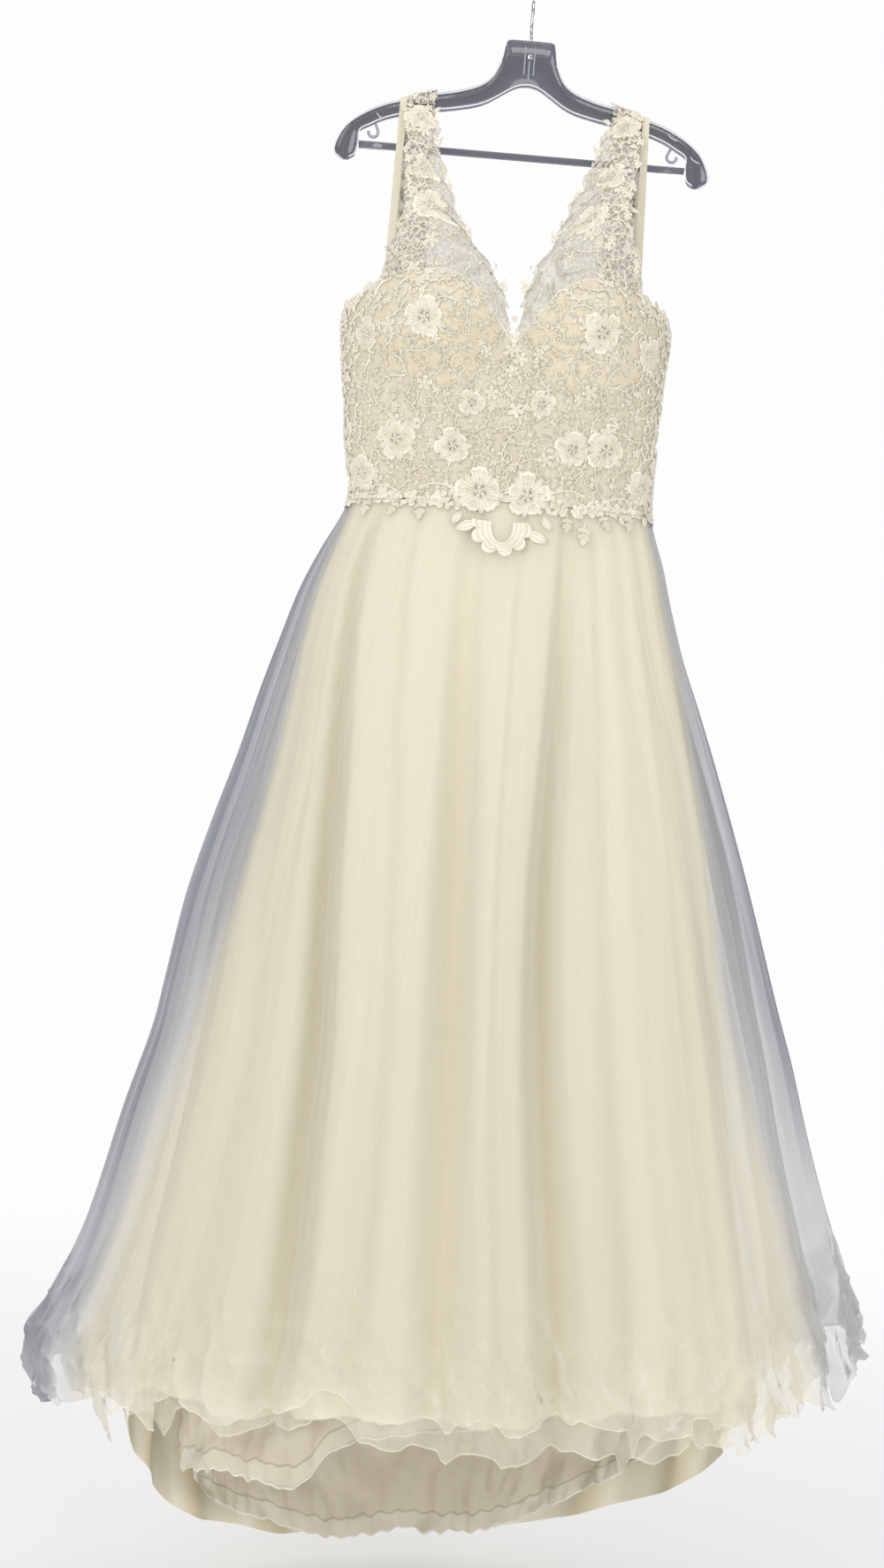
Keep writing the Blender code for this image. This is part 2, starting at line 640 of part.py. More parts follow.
def make_straps():
    """Each strap is a front and a back, joined by a shoulder seam just in front of the hanger's arm."""
    for side, sign in (("left", 1), ("right", -1)):
        front = front_strap_surface(sign)
        rows = levels(12)
        first, last = STRAP_FOOT_TURNS
        seams = panel_turns(-PRINCESS_SEAM, PRINCESS_SEAM, FRONT_COLUMNS)
        seams += panel_turns(PRINCESS_SEAM, SIDE_FRONT_SEAM, CUP_COLUMNS)
        turns = [first] + [t for t in reversed(seams) if last + 1 < t < first - 1] + [last]
        columns = [(t - first) / (last - first) for t in turns]
        outer = [[front(u, v) for u in columns] for v in rows]
        inner = []
        for v, row in zip(rows, outer):
            line = []
            for u, point in zip(columns, row):
                inwards = -sign * normal_at(front, u, v, 0.01, 0.01)
                line.append(point + STRAP_WALL * Vector((inwards.x, inwards.y, 0)).normalized())
            inner.append(line)
        slab(f"front_strap_{side}", outer, inner, SHEER)
        strip(f"back_strap_{side}", back_strap_lines(sign), STRAP_WALL, SHEER)


def make_hanging_ribbons():
    inset = BODICE_WALL + 3 * SEAM_GAP
    for ribbon in RIBBONS:
        lines = []
        for edge in (-0.5, 0.5):
            x = ribbon.x_top + edge * RIBBON_WIDTH
            path = [Vector((x, y, -drop)) for y, drop in over_the_arm(x, RIBBON_WALL + SEAM_GAP)]
            ends = []
            for turn in (ribbon.foot_turn, 180 * math.copysign(1, ribbon.foot_turn) - ribbon.foot_turn):
                towards_back = math.cos(math.radians(turn)) < 0
                sideways = edge * math.copysign(1, ribbon.x_top) * (-1 if towards_back else 1)
                place = turn + math.copysign(1, turn) * math.degrees(sideways * RIBBON_WIDTH / 0.095)
                ends.append([
                    bodice_point(place, drop) - inset * normal_at(bodice_point, place, drop, 0.4, 0.004)
                    for drop in (RIBBON_FOOT, RIBBON_STITCHED)
                ])
            front, back = ends
            down = [path[-1].lerp(back[0], step / 4) for step in range(1, 4)]
            up = [front[0].lerp(path[0], step / 4) for step in range(1, 4)]
            lines.append([front[1], front[0], *up, *path, *down, back[0], back[1]])
        strip(f"hanging_ribbon_{ribbon.side}", lines, RIBBON_WALL, SATIN_CLOTH)


def garment_surface(turn, drop):
    """The outside of the dress with its folds left out, for lace that lies across the waist seam."""
    if drop < WAIST:
        return bodice_point(turn, drop)
    return on_ring(tulle_section(drop), turn, SKIRT_POWER)


# Lobes of lace, each a petal or a leaf: its bearing in degrees, its length and its half-width in degrees
Lobe = namedtuple("Lobe", "bearing length spread pointed")
BLOSSOM = [Lobe(72 * k + 18, 1.0, 40, False) for k in range(5)]
BLOSSOM_WITH_LEAVES = [Lobe(60 * k + 30, 0.78, 32, False) for k in range(6)] + [
    Lobe(b, 1.25, 17, True) for b in (75, 160, 255, 330)
]
LEAF_SPRAY = [
    Lobe(bearing, length, 20, True)
    for bearing, length in ((20, 1.0), (75, 0.8), (150, 1.05), (215, 0.75), (265, 1.2), (320, 0.7))
]


def lace_outline(lobes, bearing):
    """How far a piece of lace reaches in a direction, as a share of its size."""
    reach = 0.30
    for lobe in lobes:
        away = abs((bearing - lobe.bearing + 180) % 360 - 180)
        if away < lobe.spread:
            share = 1 - away / lobe.spread
            shape = share ** 0.8 if lobe.pointed else math.sqrt(1 - (away / lobe.spread) ** 2) ** 0.8
            reach = max(reach, mixed(0.30, lobe.length, shape))
    return reach


def lace_plate(name, surface, u, v, size, lobes, bearing=0.0, spokes=22, steps=(0.3, 0.003)):
    """A piece of corded lace on a surface: a raised heart, petals that dip at their roots, a corded edge."""
    step_u, step_v = steps
    per_u = (surface(u + step_u, v) - surface(u - step_u, v)).length / (2 * step_u)
    per_v = (surface(u, v + step_v) - surface(u, v - step_v)).length / (2 * step_v)
    rings = ((0.0, 0.0030), (0.55, 0.0016), (1.0, 0.0012))
    back_rings = (0.0, 0.55, 1.0)

    def on_surface(share, angle):
        reach = size * share * lace_outline(lobes, math.degrees(angle) - bearing)
        a = u + reach * math.cos(angle) / per_u
        b = v - reach * math.sin(angle) / per_v
        return surface(a, b), normal_at(surface, a, b, step_u, step_v)

    def sag(near, far, angle):
        """How far a straight stretch of the back dips below the curved surface."""
        middle, outwards = on_surface((near + far) / 2, angle)
        ends = on_surface(near, angle)[0] + on_surface(far, angle)[0]
        return (middle - ends / 2).dot(outwards)

    angles = [2 * math.pi * k / spokes for k in range(spokes)]
    lift = LACE_STANDS_OFF + max(
        0.0, *(sag(near, far, angle) for near, far in zip(back_rings, back_rings[1:]) for angle in angles)
    )

    def place(share, angle, height):
        point, outwards = on_surface(share, angle)
        return point + (lift + height) * outwards

    points, faces = [place(0, 0, rings[0][1])], []
    for share, height in rings[1:]:
        points += [place(share, angle, height) for angle in angles]
    back = len(points)
    points.append(place(0, 0, HEART_STANDS_OFF - lift))
    for share in back_rings[1:]:
        points += [place(share, angle, 0) for angle in angles]
    for k in range(spokes):
        n = (k + 1) % spokes
        faces.append((0, 1 + k, 1 + n))
        for ring in range(len(rings) - 2):
            a, b = 1 + ring * spokes, 1 + (ring + 1) * spokes
            faces.append((a + k, b + k, b + n, a + n))
        faces.append((back, back + 1 + n, back + 1 + k))
        faces.append((back + 1 + n, back + 1 + spokes + n, back + 1 + spokes + k, back + 1 + k))
        rim, back_rim = 1 + (len(rings) - 2) * spokes, back + 1 + spokes
        faces.append((rim + k, back_rim + k, back_rim + n, rim + n))
    return solid(name, points, faces, LACE)


def lace_band(name, middle, half_width, scallops, finish=LACE, stations=23):
    """A scalloped band of lace across the waist: middle gives its line as (turn, drop) at a share along."""
    heights = (0.0012, 0.0026, 0.0012)
    outer, inner = [], []
    for k in range(stations):
        share = k / (stations - 1)
        turn, drop = middle(share)
        ahead, behind = middle(min(1, share + 0.01)), middle(max(0, share - 0.01))
        per_turn = 0.0032
        along = Vector(((ahead[0] - behind[0]) * per_turn, ahead[1] - behind[1])).normalized()
        taper = 0.35 + 0.65 * math.sqrt(math.sin(math.pi * min(1, max(0, 0.06 + 0.88 * share))))
        reach = half_width * taper * (1 + 0.16 * math.cos(2 * math.pi * scallops * share))
        front_line, back_line = [], []
        for part, height in zip((-1, 0, 1), heights):
            a = turn - part * reach * along.y / per_turn
            b = drop + part * reach * along.x
            outwards = normal_at(garment_surface, a, b, 0.3, 0.003)
            back_line.append(garment_surface(a, b) + LACE_STANDS_OFF * outwards)
            front_line.append(garment_surface(a, b) + (LACE_STANDS_OFF + height) * outwards)
        outer.append(front_line)
        inner.append(back_line)
    return slab(name, outer, inner, finish)


def make_lace():
    """The largest appliques: over the waist seam, on the bodice, and on the straps."""
    Applique = namedtuple("Applique", "name turn drop size lobes bearing")
    pieces = [
        Applique("lace_flower_waist_right", -9.5, 0.596, 0.031, BLOSSOM_WITH_LEAVES, 10),
        Applique("lace_flower_waist_left", 9.0, 0.603, 0.029, BLOSSOM_WITH_LEAVES, 40),
        Applique("lace_spray_waist_right", -30, 0.588, 0.032, LEAF_SPRAY, 0),
        Applique("lace_spray_waist_left", 31, 0.598, 0.033, LEAF_SPRAY, 25),
        Applique("lace_flower_side_right", -55, 0.566, 0.024, BLOSSOM, 0),
        Applique("lace_flower_side_left", 55, 0.566, 0.024, BLOSSOM, 30),
        Applique("lace_flower_body_right", -39, 0.524, 0.026, BLOSSOM_WITH_LEAVES, 80),
        Applique("lace_flower_body_left", 39, 0.524, 0.026, BLOSSOM_WITH_LEAVES, 120),
        Applique("lace_leaves_body_right", -18, 0.520, 0.020, LEAF_SPRAY, 100),
        Applique("lace_leaves_body_left", 19, 0.514, 0.020, LEAF_SPRAY, 200),
        Applique("lace_leaves_cup_right", -36, 0.394, 0.026, LEAF_SPRAY, 150),
        Applique("lace_leaves_cup_left", 36, 0.396, 0.026, LEAF_SPRAY, 60),
        Applique("lace_flower_back_right", -140, 0.560, 0.030, BLOSSOM_WITH_LEAVES, 0),
        Applique("lace_flower_back_left", 140, 0.560, 0.030, BLOSSOM_WITH_LEAVES, 60),
    ]
    for piece in pieces:
        lace_plate(
            piece.name, garment_surface, piece.turn, piece.drop, piece.size, piece.lobes, piece.bearing
        )

    def arch(share):
        angle = math.pi * (0.06 + 0.88 * share)
        return 0.8 - 9.6 * math.cos(angle), 0.621 + 0.026 * math.sin(angle)

    lace_band("lace_arch", arch, 0.0075, 6)
    for side, sign in (("left", 1), ("right", -1)):
        strap = front_strap_surface(sign)

        def facing_out(u, v, strap=strap, sign=sign):
            return strap(0.5 - sign * (u - 0.5), 1 - v)

        lace_plate(
            f"lace_flower_strap_{side}", facing_out, 0.48, 0.42, 0.017, BLOSSOM, 20 * sign,
            steps=(0.01, 0.01),
        )


def make_back_closure():
    """A placket over the centre back with a row of covered buttons."""
    half_width, wall, top, bottom = 0.009, 0.0012, BACK_V_POINT + 0.002, WAIST - 0.001
    stations = [mixed(top, bottom, k / 6) for k in range(7)]
    spread = math.degrees(half_width / 0.19)

    def back(turn, drop):
        return bodice_point(turn, drop)

    outer, inner = [], []
    for drop in stations:
        line = [180 - spread, 180, 180 + spread]
        lift = [normal_at(back, t, drop, 0.4, 0.004) for t in line]
        inner.append([back(t, drop) + 0.0005 * n for t, n in zip(line, lift)])
        outer.append([back(t, drop) + (0.0005 + wall) * n for t, n in zip(line, lift)])
    slab("back_placket", outer, inner, SATIN_CLOTH)
    count, radius, height = 9, 0.0048, 0.0024
    for k in range(count):
        drop = mixed(top + 0.007, bottom - 0.019, k / (count - 1))
        outwards = normal_at(back, 180, drop, 0.4, 0.004)
        centre = back(180, drop) + (0.0005 + wall + SEAM_GAP + height) * outwards
        bm = bmesh.new()
        bmesh.ops.create_uvsphere(bm, u_segments=8, v_segments=4, radius=radius)
        for vertex in bm.verts:
            vertex.co = Vector((vertex.co.x, -vertex.co.z * height / radius, vertex.co.y))
        mesh = bpy.data.meshes.new("covered button")
        bm.to_mesh(mesh)
        bm.free()
        button = add_object(f"button_{k + 1:02d}", mesh, SATIN_CLOTH)
        button.location = centre


def on_hanger(x, y, down):
    """A point of the hanger, which hangs a little lower on the left."""
    c, s = math.cos(HANGER_TILT), math.sin(HANGER_TILT)
    return Vector((x * c - down * s, y, -NECK_TOP - down * c - x * s))


def make_hanger():
    """Arms with a rim along both edges and a thin web, a bar, two curled strap hooks and a wire hook."""
    pairs = [p._replace(top_x=-p.top_x, low_x=-p.low_x) for p in reversed(HANGER_HALF[1:])] + HANGER_HALF
    thick, web = HANGER_THICK / 2, HANGER_WEB / 2
    sections = []
    for pair in pairs:
        top, low = Vector((pair.top_x, pair.top_down)), Vector((pair.low_x, pair.low_down))
        height = (low - top).length
        rim = min(HANGER_RIM, height * 0.3) / height
        profile = [(0, -thick), (0, thick), (rim, thick), (rim, web), (1 - rim, web), (1 - rim, thick),
                   (1, thick), (1, -thick), (1 - rim, -thick), (1 - rim, -web), (rim, -web), (rim, -thick)]
        sections.append([
            on_hanger(mixed(top.x, low.x, share), y, mixed(top.y, low.y, share)) for share, y in profile
        ])
    count = len(sections[0])
    points = [p for section in sections for p in section]
    faces = []
    for s in range(len(sections) - 1):
        for k in range(count):
            n = (k + 1) % count
            faces.append((s * count + k, s * count + n, (s + 1) * count + n, (s + 1) * count + k))
    last = (len(sections) - 1) * count
    for first in (0, last):
        faces += [
            tuple(first + k for k in (0, 1, 2, 11)),
            tuple(first + k for k in (11, 2, 3, 10)),
            tuple(first + k for k in (10, 3, 4, 9)),
            tuple(first + k for k in (9, 4, 5, 8)),
            tuple(first + k for k in (8, 5, 6, 7)),
        ]
    solid("hanger_arms", points, faces, CLEAR_PLASTIC)
    make_bar()
    for side, sign in (("left", 1), ("right", -1)):
        make_strap_hook(side, sign)
    make_wire_hook()


def make_bar():
    corners = [
        on_hanger(x, y, BAR_DOWN + down)
        for x in (-BAR_HALF_LENGTH, BAR_HALF_LENGTH)
        for y, down in (
            (-BAR_HALF_THICK, -BAR_HALF_HEIGHT), (BAR_HALF_THICK, -BAR_HALF_HEIGHT),
            (BAR_HALF_THICK, BAR_HALF_HEIGHT), (-BAR_HALF_THICK, BAR_HALF_HEIGHT),
        )
    ]
    faces = [(0, 1, 2, 3), (4, 5, 6, 7)] + [(k, (k + 1) % 4, 4 + (k + 1) % 4, 4 + k) for k in range(4)]
    bar = solid("hanger_bar", corners, faces, CLEAR_PLASTIC)
    rounding = bar.modifiers.new("rounded edges", "BEVEL")
    rounding.width = 0.0012
    rounding.segments = 1


def tube(name, points, radius, finish, resolution=2):
    """A round rod through points."""
    data = bpy.data.curves.new(name, "CURVE")
    data.dimensions = "3D"
    spline = data.splines.new("POLY")
    spline.points.add(len(points) - 1)
    for target, point in zip(spline.points, points):
        target.co = (*point, 1.0)
    data.bevel_depth = radius
    data.bevel_resolution = resolution
    data.use_fill_caps = True
    data.materials.append(finish)
    made = bpy.data.objects.new(name, data)
    bpy.context.scene.collection.objects.link(made)
    return made


def make_strap_hook(side, sign):
    """A curled finger under each arm's end, for narrow straps."""
    radius, curl, centre_x, centre_down = 0.0018, 0.0056, 0.1742, 0.1202
    points = [on_hanger(sign * 0.1719, 0, 0.1112)]
    for step in range(9):
        a = math.radians(200 - 26 * step)
        x, down = centre_x + curl * math.cos(a), centre_down + curl * math.sin(a)
        points.append(on_hanger(sign * x, 0, down))
    tube(f"strap_hook_{side}", points, radius, CLEAR_PLASTIC, 1)


def make_wire_hook():
    """The wire hook is turned a quarter round from the arms, and rests on a rail at the origin."""
    wire, bow = 0.00175, 0.01875
    foot = NECK_TOP - SEAM_GAP
    centre = bow - wire
    points = [(0, 0, -foot), (0, 0, -0.0405), (0, 0.0007, -0.0378), (0, 0.0028, -0.0358)]
    for step in range(18):
        a = math.radians(-68 + 15 * step)
        points.append((0, bow * math.cos(a), -(centre - bow * math.sin(a))))
    tube("wire_hook", points, wire, METAL)


make_bodice()
make_straps()
make_hanging_ribbons()
make_skirts()
make_lace()
make_back_closure()
make_hanger()
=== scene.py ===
import math
from collections import namedtuple

import bmesh
import bpy
import numpy as np
from mathutils import Euler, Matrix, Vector


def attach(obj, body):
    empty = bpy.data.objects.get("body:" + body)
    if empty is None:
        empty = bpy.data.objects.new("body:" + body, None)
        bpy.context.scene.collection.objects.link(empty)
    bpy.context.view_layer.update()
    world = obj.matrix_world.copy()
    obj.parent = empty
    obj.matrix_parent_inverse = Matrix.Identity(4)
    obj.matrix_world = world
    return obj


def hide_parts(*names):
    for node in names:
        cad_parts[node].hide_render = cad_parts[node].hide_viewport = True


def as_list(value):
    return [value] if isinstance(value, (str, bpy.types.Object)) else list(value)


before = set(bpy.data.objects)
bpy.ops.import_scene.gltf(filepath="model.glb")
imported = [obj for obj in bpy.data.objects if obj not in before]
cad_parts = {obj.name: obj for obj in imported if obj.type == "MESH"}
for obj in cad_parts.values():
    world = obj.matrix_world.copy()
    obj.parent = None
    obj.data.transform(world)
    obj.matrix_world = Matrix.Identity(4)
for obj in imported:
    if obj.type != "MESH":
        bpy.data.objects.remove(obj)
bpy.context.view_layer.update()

# Sizes are in metres. A drop is a distance below the rail that the hook rests on, and a turn is an angle
# round the body in degrees: 0 is the centre front, 90 the wearer's left side, 180 the centre back.

# Sizes of the dress and its hanger
NECK_TOP = 0.044
WAIST = 0.589
BODICE_WALL, STRAP_WALL, SATIN_WALL = 0.002, 0.0012, 0.0015
SEAM_GAP, LAYER_GAP = 0.0003, 0.0004
HANGER_TILT = math.radians(1.4)
BODICE_POWER, SKIRT_POWER = 2.3, 2.0
PRINCESS_SEAM, SIDE_FRONT_SEAM, SIDE_BACK_SEAM, CENTRE_BACK_GAP = 17, 62, 118, 0.35
KNEE, HEM_LEVEL = 1.030, 1.540
FOLDS_START, FOLDS_SHALLOW_AT = WAIST + 0.004, WAIST + 0.050
FLOOR_DROP = 1.905


def table(kind, rows):
    return [kind(*row) for row in rows]


Section = namedtuple("Section", "drop right left front back")
BODICE = table(Section, [
    (0.305, 0.168, 0.156, 0.058, 0.058), (0.334, 0.180, 0.166, 0.066, 0.066),
    (0.359, 0.195, 0.179, 0.070, 0.070), (0.384, 0.199, 0.181, 0.071, 0.072),
    (0.419, 0.197, 0.178, 0.069, 0.070), (0.469, 0.191, 0.174, 0.066, 0.066),
    (0.524, 0.186, 0.172, 0.063, 0.063), (0.589, 0.179, 0.172, 0.064, 0.063),
    (0.640, 0.204, 0.190, 0.078, 0.080),
])
TULLE = table(Section, [
    (0.560, 0.179, 0.172, 0.064, 0.063), (0.589, 0.180, 0.173, 0.065, 0.064),
    (0.615, 0.191, 0.180, 0.072, 0.073), (0.644, 0.207, 0.190, 0.082, 0.086),
    (0.694, 0.230, 0.203, 0.098, 0.106), (0.754, 0.250, 0.221, 0.114, 0.126),
    (0.814, 0.269, 0.244, 0.128, 0.144), (0.889, 0.290, 0.271, 0.144, 0.164),
    (0.974, 0.317, 0.300, 0.160, 0.185), (1.056, 0.340, 0.326, 0.176, 0.205),
    (1.151, 0.358, 0.355, 0.194, 0.227), (1.209, 0.369, 0.374, 0.204, 0.239),
    (1.300, 0.396, 0.400, 0.220, 0.257), (1.430, 0.430, 0.442, 0.240, 0.281),
    (1.511, 0.459, 0.466, 0.250, 0.295), (1.585, 0.488, 0.476, 0.256, 0.306),
    (1.684, 0.456, 0.466, 0.260, 0.318), (1.860, 0.440, 0.430, 0.260, 0.326),
])
SATIN = table(Section, [
    (0.560, 0.1760, 0.1690, 0.0610, 0.0600), (0.589, 0.1765, 0.1695, 0.0615, 0.0605),
    (0.615, 0.184, 0.175, 0.066, 0.066), (0.644, 0.194, 0.184, 0.073, 0.076),
    (0.694, 0.210, 0.195, 0.085, 0.092), (0.754, 0.223, 0.211, 0.097, 0.108),
    (0.814, 0.232, 0.225, 0.108, 0.122), (0.889, 0.245, 0.241, 0.120, 0.138),
    (0.974, 0.262, 0.259, 0.134, 0.156), (1.056, 0.281, 0.272, 0.147, 0.172),
    (1.151, 0.303, 0.283, 0.161, 0.190), (1.300, 0.326, 0.305, 0.179, 0.214),
    (1.430, 0.349, 0.325, 0.193, 0.232), (1.511, 0.362, 0.339, 0.199, 0.242),
    (1.616, 0.370, 0.358, 0.204, 0.250), (1.744, 0.364, 0.328, 0.204, 0.256),
    (1.880, 0.330, 0.300, 0.200, 0.258),
])
BODICE_EDGE_LEFT = [
    (0, 0.412), (8, 0.376), (16, 0.350), (25, 0.336), (34, 0.332), (45, 0.335), (56, 0.342),
    (68, 0.357), (80, 0.374), (90, 0.380), (102, 0.377), (118, 0.362), (132, 0.349), (142, 0.346),
    (152, 0.371), (163, 0.415), (172, 0.443), (180, 0.456),
]
BODICE_EDGE_RIGHT = [
    (0, 0.412), (7, 0.378), (14, 0.350), (22, 0.335), (31, 0.330), (42, 0.333), (54, 0.340),
    (66, 0.355), (79, 0.370), (90, 0.377), (102, 0.374), (118, 0.360), (132, 0.348), (142, 0.345),
    (152, 0.370), (163, 0.414), (172, 0.443), (180, 0.456),
]
Cup = namedtuple("Cup", "x drop half_width half_height rise")
CUPS = table(Cup, [(-0.097, 0.385, 0.080, 0.078, 0.030), (0.096, 0.382, 0.080, 0.078, 0.030)])

Fold = namedtuple("Fold", "waist knee hem half_width shallow middle deep")
FOLDS = table(Fold, [
    (-75.0, -64.0, -58.0, 5.5, 0.003, 0.012, 0.024), (-64.0, -47.5, -42.0, 4.5, 0.003, 0.012, 0.022),
    (-52.0, -33.5, -25.5, 4.0, 0.010, 0.034, 0.042), (-33.0, -19.5, -14.5, 3.6, 0.005, 0.010, 0.020),
    (-10.0, -5.5, -2.0, 5.8, 0.007, 0.030, 0.036), (8.0, 4.2, 7.0, 2.6, 0.003, 0.008, 0.012),
    (25.0, 13.0, 14.5, 4.6, 0.008, 0.034, 0.040), (37.0, 27.0, 25.5, 3.8, 0.003, 0.008, 0.018),
    (48.0, 39.0, 37.0, 4.4, 0.002, 0.005, 0.014), (60.0, 52.0, 51.0, 5.2, 0.003, 0.011, 0.022),
    (74.0, 68.0, 67.0, 6.0, 0.003, 0.012, 0.026), (101.0, 103.0, 106.0, 8.0, 0.004, 0.016, 0.034),
    (124.0, 126.0, 128.0, 8.5, 0.005, 0.022, 0.040), (148.0, 149.0, 151.0, 8.0, 0.005, 0.020, 0.036),
    (170.0, 170.5, 172.0, 8.0, 0.006, 0.026, 0.042), (193.0, 193.0, 193.0, 8.5, 0.006, 0.024, 0.038),
    (216.0, 215.0, 214.0, 8.5, 0.005, 0.022, 0.040), (240.0, 238.5, 236.0, 8.5, 0.004, 0.018, 0.036),
    (259.0, 258.0, 256.0, 6.5, 0.004, 0.014, 0.028),
])
TULLE_HEM = [
    (-90, 1.608), (-62, 1.630), (-32, 1.594), (0, 1.584), (30, 1.592), (60, 1.578), (90, 1.524),
    (115, 1.572), (145, 1.715), (180, 1.800), (213, 1.770), (243, 1.680), (270, 1.608),
]
UNDER_TULLE_HEM = [
    (-90, 1.600), (-60, 1.628), (-28, 1.612), (0, 1.622), (28, 1.624), (60, 1.594), (90, 1.538),
    (115, 1.592), (145, 1.725), (180, 1.790), (213, 1.770), (243, 1.690), (270, 1.600),
]
SATIN_HEM = [
    (-90, 1.690), (-60, 1.622), (-32, 1.616), (0, 1.600), (32, 1.592), (60, 1.592), (90, 1.612),
    (111, 1.684), (146, 1.803), (174, 1.854), (195, 1.861), (213, 1.857), (235, 1.822), (270, 1.690),
]
LINING_HEM = [
    (-90, 1.712), (-60, 1.706), (-31, 1.698), (-24, 1.656), (0, 1.622), (30, 1.598), (60, 1.606),
    (90, 1.603), (111, 1.674), (146, 1.793), (174, 1.844), (195, 1.850), (213, 1.846), (235, 1.811),
    (270, 1.712),
]
StrapRow = namedtuple("StrapRow", "drop outer inner front")
LEFT_STRAP = table(StrapRow, [
    (0.127, 0.1325, 0.1000, 0.0074), (0.160, 0.1320, 0.0895, 0.0190), (0.193, 0.1300, 0.0785, 0.0320),
    (0.220, 0.1258, 0.0690, 0.0430), (0.249, 0.1241, 0.0555, 0.0550), (0.279, 0.1242, 0.0440, 0.0680),
    (0.305, 0.1268, 0.0335, 0.0780), (0.324, 0.1330, 0.0262, 0.0830), (0.340, 0.1440, 0.0205, 0.0860),
])
RIGHT_STRAP = table(StrapRow, [
    (0.127, 0.1380, 0.1070, 0.0074), (0.160, 0.1375, 0.1040, 0.0190), (0.193, 0.1362, 0.0965, 0.0320),
    (0.220, 0.1336, 0.0890, 0.0430), (0.249, 0.1327, 0.0785, 0.0550), (0.279, 0.1342, 0.0660, 0.0680),
    (0.305, 0.1370, 0.0520, 0.0780), (0.324, 0.1450, 0.0417, 0.0830), (0.340, 0.1600, 0.0350, 0.0860),
])
STRAP_FOOT_TURNS = (57.0, 1.2)
BACK_STRAP_FOOT_TURNS = (125.0, 145.4)
RibbonEnd = namedtuple("RibbonEnd", "side x_top foot_turn")
RIBBONS = [RibbonEnd("left", 0.1385, 55.0), RibbonEnd("right", -0.1438, -57.0)]
RIBBON_WIDTH, RIBBON_WALL, RIBBON_FOOT, RIBBON_STITCHED = 0.0085, 0.001, 0.520, 0.545

Pair = namedtuple("Pair", "top_x top_down low_x low_down")
HANGER_HALF = table(Pair, [
    (0.000, 0.000, 0.000, 0.054), (0.014, 0.000, 0.008, 0.055), (0.026, 0.001, 0.016, 0.058),
    (0.029, 0.008, 0.024, 0.063), (0.032, 0.024, 0.033, 0.069), (0.041, 0.043, 0.044, 0.076),
    (0.055, 0.055, 0.058, 0.082), (0.080, 0.064, 0.084, 0.088), (0.110, 0.0705, 0.111, 0.0925),
    (0.140, 0.079, 0.142, 0.099), (0.165, 0.087, 0.163, 0.106), (0.188, 0.099, 0.178, 0.114),
    (0.206, 0.114, 0.190, 0.122), (0.216, 0.133, 0.1905, 0.136), (0.217, 0.146, 0.193, 0.149),
    (0.208, 0.154, 0.200, 0.1545),
])
HANGER_THICK, HANGER_WEB, HANGER_RIM = 0.011, 0.003, 0.0028


def make_camera():
    data = bpy.data.cameras.new("camera")
    camera = bpy.data.objects.new("camera", data)
    bpy.context.scene.collection.objects.link(camera)
    camera.location = (-0.051, -2.6, -0.912)
    level, roll = math.radians(90), math.radians(3.5)
    turned = Euler((level, 0, 0)).to_matrix() @ Euler((0, 0, roll)).to_matrix()
    camera.rotation_euler = turned.to_euler()
    data.sensor_width = 36
    data.lens = 51.3
    bpy.context.scene.camera = camera


make_camera()


# Shapes shared by the cloths

def mixed(a, b, share):
    return a + (b - a) * share


def eased(share):
    share = np.clip(share, 0, 1)
    return share * share * (3 - 2 * share)


def curve(xs, ys, at):
    """Values of a smooth curve through the points (xs, ys), held flat past its ends."""
    xs, ys = np.asarray(xs, float), np.asarray(ys, float)
    slope = np.empty_like(ys)
    slope[1:-1] = (ys[2:] - ys[:-2]) / (xs[2:] - xs[:-2])
    slope[0] = (ys[1] - ys[0]) / (xs[1] - xs[0])
    slope[-1] = (ys[-1] - ys[-2]) / (xs[-1] - xs[-2])
    at = np.clip(np.asarray(at, float), xs[0], xs[-1])
    i = np.clip(np.searchsorted(xs, at) - 1, 0, len(xs) - 2)
    span = xs[i + 1] - xs[i]
    t = (at - xs[i]) / span
    near = ys[i] * (1 + 2 * t) * (1 - t) ** 2 + span * slope[i] * t * (1 - t) ** 2
    return near + ys[i + 1] * t * t * (3 - 2 * t) + span * slope[i + 1] * t * t * (t - 1)


def section_at(sections, drop):
    drops, right, left, front, back = zip(*sections)
    return Section(drop, *(curve(drops, column, drop) for column in (right, left, front, back)))


def round_table(table, turn):
    turns, drops = zip(*table)
    return curve(turns, drops, (np.asarray(turn) + 90) % 360 - 90)


def on_ring(section, turn, power):
    s, c = np.sin(np.radians(turn)), np.cos(np.radians(turn))
    half = np.where(s > 0, section.left, section.right)
    depth = np.where(c > 0, section.front, section.back)
    reach = np.maximum(0, 1 - np.abs(s) ** power) ** (1 / power)
    return np.stack([half * s, -depth * np.sign(c) * reach, -section.drop + 0 * s], axis=-1)


def unit(vectors):
    return vectors / np.maximum(np.linalg.norm(vectors, axis=-1, keepdims=True), 1e-12)


def ring_normal(section, turn, power):
    along = on_ring(section, turn + 0.5, power) - on_ring(section, turn - 0.5, power)
    return unit(np.stack([along[..., 1], -along[..., 0], 0 * along[..., 0]], axis=-1))


def cup_distance(cup, point, drop):
    """How far a point lies from a cup's middle, squared, with 1 at the cup's edge."""
    return ((point[..., 0] - cup.x) / cup.half_width) ** 2 + ((drop - cup.drop) / cup.half_height) ** 2


def bodice_point(turn, drop):
    point = on_ring(section_at(BODICE, drop), turn, BODICE_POWER)
    rise = np.zeros_like(point[..., 0])
    for cup in CUPS:
        rise = np.maximum(rise, cup.rise * np.maximum(0, 1 - cup_distance(cup, point, drop)) ** 1.15)
    point[..., 1] -= np.where(np.cos(np.radians(turn)) > 0, rise, 0)
    return point


